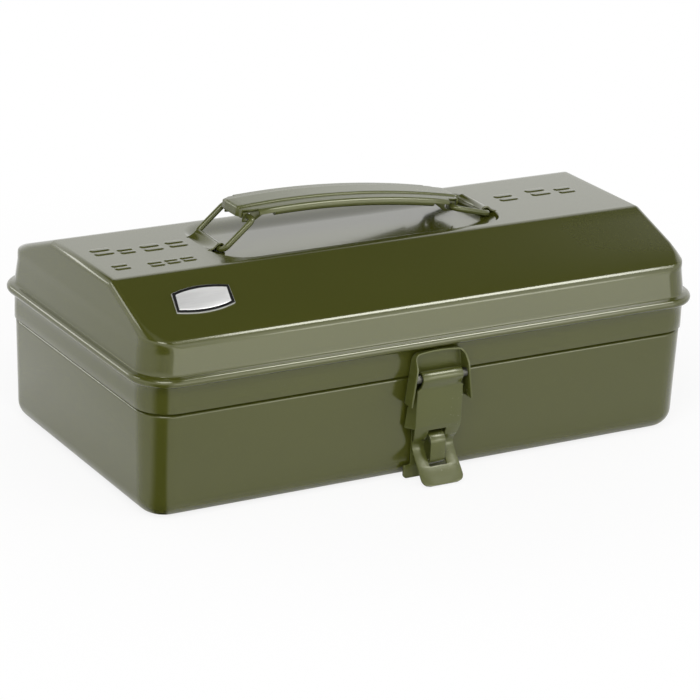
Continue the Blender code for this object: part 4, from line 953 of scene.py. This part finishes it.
def make_bracket():
    outline = bracket_line()
    back = -(SKIRT_HALF_DEPTH + SEAT_GAP)
    sections = [upright(set_in(outline, -inset), back - depth)
                for inset, depth in arc((BRACKET_BEND, BRACKET_BEND), BRACKET_BEND, 270, 180, 5)]
    for share in (0.35, 0.7, 1.0):
        row = []
        for x, z in outline:
            full = between(BRACKET_BROW, BRACKET_EAR, ease(within((BRACKET_TOP - z) / BRACKET_BROW_RUN)))
            row.append(Vector((x, back - between(BRACKET_BEND, full, share), z)))
        sections.append(row)
    bracket = draw("latch_bracket_pressing", sections, closed=False)
    pick("VERT", lambda vert: abs(vert.co.y - back) < TOUCH)
    bpy.ops.mesh.edge_face_add()
    face_towards((0, 1, 0))
    give_thickness(bracket, FITTING_SHEET)
    settle(bracket, "lid", "fitting_paint", ["latch_bracket"])
    up = (LATCH_PIN_Z - BRACKET_FOOT) / (BRACKET_TOP - BRACKET_ARCH - BRACKET_CORNER - BRACKET_FOOT)
    half = between(BRACKET_FOOT_HALF, BRACKET_TOP_HALF, up) - FITTING_SHEET * 0.8
    pin = spun("latch_steel_pin", both_ends([(0.0, half), (LATCH_PIN_RADIUS * 0.7, half),
                                             (LATCH_PIN_RADIUS, half - PIN_CHAMFER)]))
    pin.data.transform(Matrix.Translation((0, LATCH_PIN_Y, LATCH_PIN_Z)) @ ALONG_X)
    settle(pin, "lid", "pin_steel", ["latch_pin"])


def lever_rows():
    """Rows of the lever from its tail to the end of its roll: y, z and half width."""
    rows = []
    bow = (between(TAIL_Y, WAIST_Y, TAIL_BOW[0]), between(TAIL_Z, WAIST_Z, TAIL_BOW[1]))
    curve = flowing_line([(TAIL_Y, TAIL_Z), bow, (WAIST_Y, WAIST_Z),
                          ((WAIST_Y + LEVER_FRONT) / 2, (WAIST_Z + LEVER_PLATE_FOOT) / 2),
                          (LEVER_FRONT, LEVER_PLATE_FOOT)], 10)
    for level in (SLOT_FOOT, SLOT_TOP):
        above = next(index for index, point in enumerate(curve) if point[1] > level)
        share = (level - curve[above - 1][1]) / (curve[above][1] - curve[above - 1][1])
        curve.insert(above, curve[above - 1].lerp(curve[above], share))
    run = 0.0
    for index, (y, z) in enumerate(curve):
        if index:
            run += (curve[index] - curve[index - 1]).length
        half = between(WAIST_HALF, LEVER_HALF, ease(within((z - WAIST_Z) / (LEVER_PLATE_FOOT - WAIST_Z))))
        half += (TAIL_HALF - WAIST_HALF) * within((WAIST_Z - z) / (WAIST_Z - TAIL_Z))
        if run < TAIL_CORNER:
            half -= TAIL_CORNER - math.sqrt(max(0.0, TAIL_CORNER ** 2 - (TAIL_CORNER - run) ** 2))
        rows.append((y, z, half))
    rows += [(LEVER_FRONT, z, LEVER_HALF) for z in (FLANGE_STEP - FLANGE_RUN, FLANGE_STEP, FLANGE_TOP)]
    front = LATCH_PIN_Y - KNUCKLE_RADIUS
    for share in shares(9)[:-1]:
        z = between(FLANGE_TOP + LEAN_START, LATCH_PIN_Z + LEAN_END, share)
        half = between(LEVER_HALF, KNUCKLE_HALF, ease(within(share / NARROW_SHARE)))
        rows.append((between(LEVER_FRONT, front, ease(share)), z, half))
    return rows + [(LATCH_PIN_Y - y, LATCH_PIN_Z + z, KNUCKLE_HALF)
                   for y, z in arc((0.0, 0.0), KNUCKLE_RADIUS, ROLL_START, ROLL_END, 21)]


def make_lever():
    lever = draw("latch_lever_pressing", [[Vector((x, y, z)) for x in (-half, -SLOT_HALF, SLOT_HALF, half)]
                                          for y, z, half in lever_rows()], closed=False)

    def in_slot(face):
        centre = face.calc_center_median()
        return abs(centre.x) < SLOT_HALF / 2 and SLOT_FOOT < centre.z < SLOT_TOP

    def on_flange(edge):
        ends = [vert.co for vert in edge.verts]
        beside = all(abs(abs(end.x) - LEVER_HALF) < FLANGE_NEAR and end.y < WAIST_Y for end in ends)
        level = all(FLANGE_FOOT - FLANGE_NEAR < end.z < FLANGE_TOP + FLANGE_NEAR / 4 for end in ends)
        return beside and level and abs(ends[0].x - ends[1].x) < SLOT_HALF

    pick("FACE", in_slot)
    bpy.ops.mesh.delete(type="FACE")
    pick("EDGE", on_flange)
    for depth in (FLANGE_FOLD, FLANGE_DEPTH_HIGH - FLANGE_FOLD):
        bpy.ops.mesh.extrude_region_move(TRANSFORM_OT_translate={"value": (0, depth, 0)})
    bm = bmesh.from_edit_mesh(lever.data)
    for vert in bm.verts:
        if vert.select:
            depth = FLANGE_DEPTH_LOW if vert.co.z < FLANGE_STEP - FLANGE_RUN / 2 else FLANGE_DEPTH_HIGH
            low = within((FLANGE_TOP - vert.co.z) / (FLANGE_TOP - FLANGE_FOOT))
            vert.co.y = LEVER_FRONT + depth
            vert.co.x += math.copysign(between(FLANGE_FLARE_HIGH, FLANGE_FLARE_LOW, low), vert.co.x)
    bmesh.update_edit_mesh(lever.data)
    face_towards((0, -1, 0))
    round_edges(lever, LEVER_BEND, segments=3, angle=60.0)
    give_thickness(lever, LEVER_SHEET)
    settle(lever, "latch_lever", "fitting_paint", ["latch_lever"])


def make_catch():
    foot, step = CATCH_FOOT_CORNER, CATCH_STEP_CORNER
    half = arc((CATCH_FOOT_HALF - foot, CATCH_FOOT + foot), foot, -90, 0, 8)
    half += arc((CATCH_FOOT_HALF - step, CATCH_STEP - step), step, 0, 90, 6)
    half += arc((CATCH_HALF + step, CATCH_STEP + step), step, 270, 180, 6)
    half += arc((CATCH_HALF - CATCH_CORNER, CATCH_TOP - CATCH_CORNER), CATCH_CORNER, 0, 90, 8)
    outline = both_sides(half)
    front = CATCH_BACK - CATCH_SHEET
    plate = solid("latch_catch_pressing", [upright(outline, CATCH_BACK), upright(outline, front)])
    inside = CATCH_BACK - CATCH_SHEET / 2
    bend_y = LOOP_FRONT + LOOP_CORNER
    path = ([(inside, LOOP_FOOT)] + arc((bend_y, LOOP_FOOT + LOOP_CORNER), LOOP_CORNER, 270, 180, 10)
            + arc((bend_y, LOOP_TOP - LOOP_CORNER), LOOP_CORNER, 180, 90, 10) + [(inside, LOOP_TOP)])
    across = ((-1.0, LOOP_EDGE), (-0.85, 0.0), (0.0, 0.0), (0.85, 0.0), (1.0, LOOP_EDGE))
    rows = [[Vector((share * LOOP_HALF, y + back, z)) for share, back in across] for y, z in path]
    staple = strip("staple", rows, (0, -1, 0), CATCH_SHEET)
    cut(plate, staple, "UNION")
    rivet_holes_in(plate, [(side * CATCH_RIVET_X, CATCH_RIVET_Z) for side in (-1, 1)],
                   CATCH_BACK + HOLE_RUN, CATCH_BACK - HOLE_OUT)
    round_edges(plate, FITTING_EDGE)
    settle(plate, "box", "fitting_paint", ["latch_catch"])
    under_head = front - SEAT_GAP / 2
    rivet = make_rivet_form("catch_rivet", -inner_wall(CATCH_RIVET_Z) - under_head + SEAT_GAP / 2)
    forward = Matrix.Rotation(math.pi / 2, 4, "X")
    for side, word in SIDES:
        spot = Matrix.Translation((side * CATCH_RIVET_X, under_head, CATCH_RIVET_Z)) @ forward
        settle(twin(rivet, "catch_dome_rivet_" + word, spot), "box", "fitting_paint",
               ["catch_rivet_" + word])
    drop(rivet)


# Handle

def link_root(side):
    return HANDLE_SHIFT + side * LINK_SPAN / 2


def link_tip(side):
    angle = math.radians(LINK_RAISED if side < 0 else LINK_LOWERED)
    return link_root(side) - side * LINK_LENGTH * math.cos(angle), LINK_Z + LINK_LENGTH * math.sin(angle)


left_x, left_z = link_tip(-1)
right_x, right_z = link_tip(1)
GRIP_HALF = math.hypot(right_x - left_x, right_z - left_z) / 2
GRIP_END = GRIP_HALF + GRIP_OVERHANG
GRIP_BOW = (GRIP_END * GRIP_END + GRIP_RISE * GRIP_RISE) / (2 * GRIP_RISE)
GRIP_PLACE = (Matrix.Translation(((left_x + right_x) / 2, 0.0, (left_z + right_z) / 2))
              @ Matrix.Rotation(math.atan2(left_z - right_z, right_x - left_x), 4, "Y"))


def make_wire(side, word, body):
    tip_x, tip_z = link_tip(side)
    root = link_root(side)
    line = rounded_line([(tip_x, -TIP_REACH, tip_z), (tip_x, -WIRE_HALF, tip_z), (root, -WIRE_HALF, LINK_Z),
                         (root, WIRE_HALF, LINK_Z), (tip_x, WIRE_HALF, tip_z), (tip_x, TIP_REACH, tip_z)],
                        [TIP_BEND, WIRE_BEND, WIRE_BEND, TIP_BEND])
    across = Vector((tip_z - LINK_Z, 0.0, root - tip_x)).normalized()
    round_wire = arc((0.0, 0.0), WIRE_RADIUS, 0, 360, 16)[:-1]
    sections = []
    for index, point in enumerate(line):
        along = (line[min(len(line) - 1, index + 1)] - line[max(0, index - 1)]).normalized()
        sideways = along.cross(across).normalized()
        sections.append([point + across * x + sideways * y for x, y in round_wire])
    wire = solid("wire_link_" + word, sections)
    round_edges(wire, WIRE_EDGE, angle=70.0)
    settle(wire, body, "fitting_paint", ["handle_wire_" + word])


def make_tunnel(side, word):
    root = link_root(side)
    foot = DISH_FLOOR + SEAT_GAP
    section = [(root - side * TUNNEL_RADIUS, foot)]
    section += [(root - side * (x - root), z) for x, z in arc((root, LINK_Z), TUNNEL_RADIUS, 0.0, 138.0, 16)]
    near_x, near_z = section[-1]
    section += [(between(near_x, root + side * TUNNEL_FOOT, share),
                 between(near_z, TOP_HEIGHT + TUNNEL_LIFT, 1 - (1 - share) ** 2))
                for share in shares(8, first=1)]
    ends = []
    for share, flare in ((-1.0, TUNNEL_FLARE), (-0.93, 0.0), (0.0, 0.0), (0.93, 0.0), (1.0, TUNNEL_FLARE)):
        ends.append([Vector((root + (x - root) * (1 + flare / TUNNEL_RADIUS), share * TUNNEL_HALF,
                             z + (flare if z > foot else 0.0))) for x, z in section])
    tunnel = strip("pressed_tunnel_" + word, ends, (0, 0, 1), FITTING_SHEET)
    settle(tunnel, "lid", "body_paint", ["handle_tunnel_" + word])


def grip_station(x):
    height = GRIP_CROWN - GRIP_BOW + math.sqrt(GRIP_BOW * GRIP_BOW - x * x)
    return Matrix.Translation((x, 0.0, height)) @ Matrix.Rotation(math.asin(x / GRIP_BOW), 4, "Y")


def turned_down(side, edge):
    """Stations of one of the grip's ends, which turns down and runs on for a little."""
    frames = []
    for step in range(1, 6):
        turn = side * math.radians(GRIP_END_TURN * step / 5)
        fall = (side * GRIP_END_BEND * math.sin(abs(turn)), 0.0, -GRIP_END_BEND * (1 - math.cos(turn)))
        frames.append(edge @ Matrix.Translation(fall) @ Matrix.Rotation(turn, 4, "Y"))
    frames.append(frames[-1] @ Matrix.Translation((side * (GRIP_END_DROP - GRIP_END_BEND), 0.0, 0.0)))
    return frames


def grip_profile():
    """Half section of the grip's top from its middle to where the roll begins."""
    flat = -GRIP_RIB_HEIGHT
    rib = [(between(GRIP_RIB_HALF, GRIP_RIB_FOOT, share), flat * ease(share)) for share in shares(6)]
    return [(0.0, 0.0), (GRIP_RIB_HALF * 0.8, 0.0)] + rib + [
        (GRIP_FLAT_HALF, flat), ((GRIP_FLAT_HALF + GRIP_EDGE_HALF) / 2, flat - GRIP_EDGE_DROP * 0.3),
        (GRIP_EDGE_HALF, flat - GRIP_EDGE_DROP)]


def grip_row(station, profile):
    return [GRIP_PLACE @ (station @ Vector((0.0, y, z))) for y, z in profile]


def make_grip():
    roll = GRIP_HALF * CURL_SHARE
    ends = (GRIP_HALF * HEM_SHARE, GRIP_HALF, GRIP_END - GRIP_END_BEND)
    left = [grip_station(-x) for x in reversed(ends)]
    rolled = [grip_station(between(-roll, roll, share)) for share in shares(30)]
    right = [grip_station(x) for x in ends]
    half = grip_profile()
    full = [(-y, z) for y, z in reversed(half[1:])] + half
    sections = []
    for station in turned_down(-1, left[0])[::-1] + left + rolled + right + turned_down(1, right[-1]):
        narrow = abs(station.translation.x) > GRIP_HALF + 0.0002
        room = GRIP_END_HALF if narrow else GRIP_EDGE_HALF
        share = (room - GRIP_RIB_FOOT) / (GRIP_EDGE_HALF - GRIP_RIB_FOOT)
        sections.append(grip_row(station, [
            (y + math.copysign(max(0.0, abs(y) - GRIP_RIB_FOOT), y) * (share - 1), z) for y, z in full]))
    grip = draw("grip_pressing", sections, closed=False)
    line = [(GRIP_EDGE_HALF, -GRIP_RIB_HEIGHT - GRIP_EDGE_DROP)]
    line += arc((CURL_CENTRE_Y, -CURL_CENTRE_DROP), CURL_RADIUS, CURL_START, CURL_START - CURL_TURN, 24)
    curls = []
    for side in (-1, 1):
        edge = [(side * y, z) for y, z in line]
        for stations, count in ((rolled, len(line)), ((left[-1], rolled[0]), HEM_STEPS),
                                ((rolled[-1], right[0]), HEM_STEPS)):
            rows = [grip_row(station, edge[:count]) for station in stations]
            curls.append(draw("grip_curl", rows, closed=False))
    take(grip)
    for curl in curls:
        curl.select_set(True)
    bpy.ops.object.join()
    bpy.ops.object.mode_set(mode="EDIT")
    weld(TOUCH)
    face_towards((0, 0, 1))
    give_thickness(grip, GRIP_SHEET)
    settle(grip, "handle_grip", "fitting_paint", ["handle_grip"])


def make_yoke(side, word):
    pivot = side * GRIP_HALF
    station = grip_station(pivot)
    lean = math.tan(math.asin(station.col[0].z))
    web = station.translation.z - GRIP_RIB_HEIGHT - GRIP_SHEET - SEAT_GAP
    line = both_sides([(-YOKE_HALF, -YOKE_BELOW)]
                      + arc((-YOKE_HALF + YOKE_BEND, web - YOKE_BEND), YOKE_BEND, 180, 90, 5))
    sections = []
    for x, share in ((side * YOKE_LENGTH / 2, 0.0), (-side * YOKE_LENGTH / 2, 0.0),
                     (-side * (YOKE_LENGTH / 2 + YOKE_GUSSET), 1.0)):
        foot = web + x * lean - YOKE_WEB_EDGE
        row = [(y, z + x * lean if z > 0 else between(z, foot, share)) for y, z in line]
        sections.append([GRIP_PLACE @ Vector((pivot + x, y, z)) for y, z in row])
    yoke = strip("grip_yoke_fold_" + word, sections, (0, 0, 1), YOKE_SHEET)
    play = OPEN_PIVOT_PLAY if side > 0 else 0.0
    ends = arc((pivot, 0.0), WIRE_RADIUS + PIVOT_ROOM, -90.0, 90.0, 12)
    far_end = arc((pivot - play, 0.0), WIRE_RADIUS + PIVOT_ROOM, 90.0, 270.0, 12)
    ends += far_end if play else far_end[1:-1]
    cut(yoke, solid("yoke_hole", [[GRIP_PLACE @ point for point in upright(ends, y)]
                                  for y in (-WIRE_HALF, WIRE_HALF)]))
    settle(yoke, "handle_grip", "fitting_paint", ["grip_yoke_" + word])


# Room, lamps and camera

def lay_plane(name, size, place):
    clear_selection()
    bpy.ops.mesh.primitive_plane_add(size=size, location=place)
    plane = bpy.context.object
    plane.name = name
    return plane


def make_floor():
    """A white floor, a little darker close to the box, to the camera and in the gloss."""
    floor = lay_plane("studio_floor", 12.0, (0, 0, FLOOR_HEIGHT))
    bpy.ops.object.transform_apply()
    material, tree, shader = new_material("pale_floor")
    feed(tree, shader, {"Base Color": (0.95, 0.95, 0.95, 1.0), "Roughness": 0.7, "Specular IOR Level": 0.2})
    path = add_node(tree, "ShaderNodeLightPath").outputs
    place = add_node(tree, "ShaderNodeTexCoord").outputs["Object"]
    spot = add_node(tree, "ShaderNodeSeparateXYZ", {0: place}).outputs
    away = add_node(tree, "ShaderNodeVectorMath", {0: place}, operation="LENGTH").outputs["Value"]
    level = fade(tree, away, FLOOR_SEEN_SPAN, FLOOR_SEEN_LEVELS)
    seen = reckon(tree, "MULTIPLY", path["Is Camera Ray"], level)
    beside = reckon(tree, "MAXIMUM", *[reckon(tree, "SUBTRACT", reckon(tree, "ABSOLUTE", spot[axis]), half)
                                       for axis, half in (("X", TRAY_HALF_LENGTH), ("Y", TRAY_HALF_DEPTH))])
    level = fade(tree, beside, FLOOR_MIRROR_SPAN, FLOOR_MIRROR_LEVELS)
    bounced = reckon(tree, "MAXIMUM", path["Is Glossy Ray"], path["Is Transmission Ray"])
    mirrored = reckon(tree, "MULTIPLY", bounced, level)
    white = add_node(tree, "ShaderNodeEmission", {"Color": (1, 1, 1, 1), "Strength": 1.0})
    mix_surface(tree, reckon(tree, "MAXIMUM", seen, mirrored), shader, white)
    floor.data.materials.append(material)


def make_dark_card():
    """A dark card on the floor off the front left corner, which only shows in the gloss of that corner."""
    card = lay_plane("dark_corner_card", 1.1, DARK_CARD_CORNER)
    material, tree, shader = new_material("dark_card")
    tree.nodes.remove(shader)
    place = add_node(tree, "ShaderNodeTexCoord").outputs["Object"]
    turn = add_node(tree, "ShaderNodeTexGradient", {"Vector": place}, gradient_type="RADIAL").outputs["Fac"]
    rise = fade(tree, turn, [degrees / 360 for degrees in DARK_CARD_LEFT])
    fall = fade(tree, turn, [degrees / 360 for degrees in DARK_CARD_RIGHT], (1.0, 0.0))
    clear = add_node(tree, "ShaderNodeBsdfTransparent")
    dark = add_node(tree, "ShaderNodeEmission", {"Strength": DARK_CARD_LEVEL})
    mix_surface(tree, reckon(tree, "MULTIPLY", rise, fall), clear, dark)
    card.data.materials.append(material)
    card.visible_camera = card.visible_diffuse = card.visible_shadow = False


def make_room():
    """A room that is white low down all round, brighter above that, dark high up and grey overhead."""
    world = bpy.data.worlds.new("studio_room")
    bpy.context.scene.world = world
    world.use_nodes = True
    tree = world.node_tree
    place = add_node(tree, "ShaderNodeTexCoord").outputs["Generated"]
    height = add_node(tree, "ShaderNodeSeparateXYZ", {0: place}).outputs["Z"]
    spread = add_node(tree, "ShaderNodeMapRange", {"From Min": -1.0, "From Max": 1.0, "Value": height})
    ramp = add_node(tree, "ShaderNodeValToRGB", {"Fac": spread.outputs["Result"]})
    stops = ramp.color_ramp.elements
    while len(stops) < len(ROOM_LEVELS):
        stops.new(0.5)
    for stop, (position, level) in zip(stops, ROOM_LEVELS):
        stop.position = position
        stop.color = (level, level, level, 1.0)
    feed(tree, tree.nodes["Background"], {"Color": ramp.outputs["Color"], "Strength": 1.0})


def make_lamp(name, place, target, size, level, lights=True):
    """A flat lamp, its long side along the box. Without lights it only shows in the gloss."""
    clear_selection()
    bpy.ops.object.light_add(type="AREA", location=place)
    lamp = bpy.context.object
    lamp.name = name
    lamp.data.shape = "RECTANGLE"
    lamp.data.size, lamp.data.size_y = size
    lamp.data.energy = level * math.pi * size[0] * size[1]
    back = (Vector(place) - Vector(target)).normalized()
    along = (Vector((1, 0, 0)) - back * back.x).normalized()
    lamp.rotation_euler = Matrix((along, back.cross(along), back)).transposed().to_euler()
    lamp.visible_camera = False
    lamp.visible_diffuse = lights


def make_camera():
    data = bpy.data.cameras.new("camera")
    camera = bpy.data.objects.new("camera", data)
    bpy.context.scene.collection.objects.link(camera)
    data.lens = CAMERA_LENS
    data.sensor_width = 36.0
    turn = Matrix((CAMERA_RIGHT, CAMERA_UP, CAMERA_BACK)).transposed()
    camera.matrix_world = Matrix.Translation(CAMERA_PLACE) @ turn.to_4x4()
    data.clip_start = 0.05
    data.clip_end = 30.0
    bpy.context.scene.camera = camera


make_tray()
make_lid()
make_marks()
make_badge()
make_hinges()
make_bracket()
make_lever()
make_catch()
for side, word in SIDES:
    make_wire(side, word, "handle_link_" + word)
    make_tunnel(side, word)
    make_yoke(side, word)
make_grip()
make_floor()
make_dark_card()
make_room()
make_lamp("key_softbox", (-0.55, -0.75, 1.15), (0, 0, 0.05), (0.7, 0.7), 6.2)
make_lamp("high_front_softbox", (0.62, -1.05, 0.95), (0, 0, 0.07), (0.9, 0.9), 0.8)
make_lamp("front_card", (0.085, -0.275, 0.05), (0.085, 0.0, 0.05), (0.47, 0.10), 1.6, lights=False)
make_lamp("eave_strip", (0.60, -0.38, 1.05), (0, 0, 0.08), (0.50, 0.42), 13.0, lights=False)
make_lamp("low_front_strip", (0.73, -1.24, 0.42), (0, 0, 0.07), (0.50, 0.26), 5.0, lights=False)
make_lamp("gable_strip", (-0.88, 0.57, 0.95), (-0.13, 0, 0.09), (0.34, 0.34), 3.5, lights=False)
make_lamp("back_left_strip", (-0.75, 1.15, 0.50), (-0.14, 0, 0.05), (0.50, 0.22), 4.0, lights=False)
make_camera()
bpy.context.scene.view_settings.view_transform = "Standard"
clear_selection()
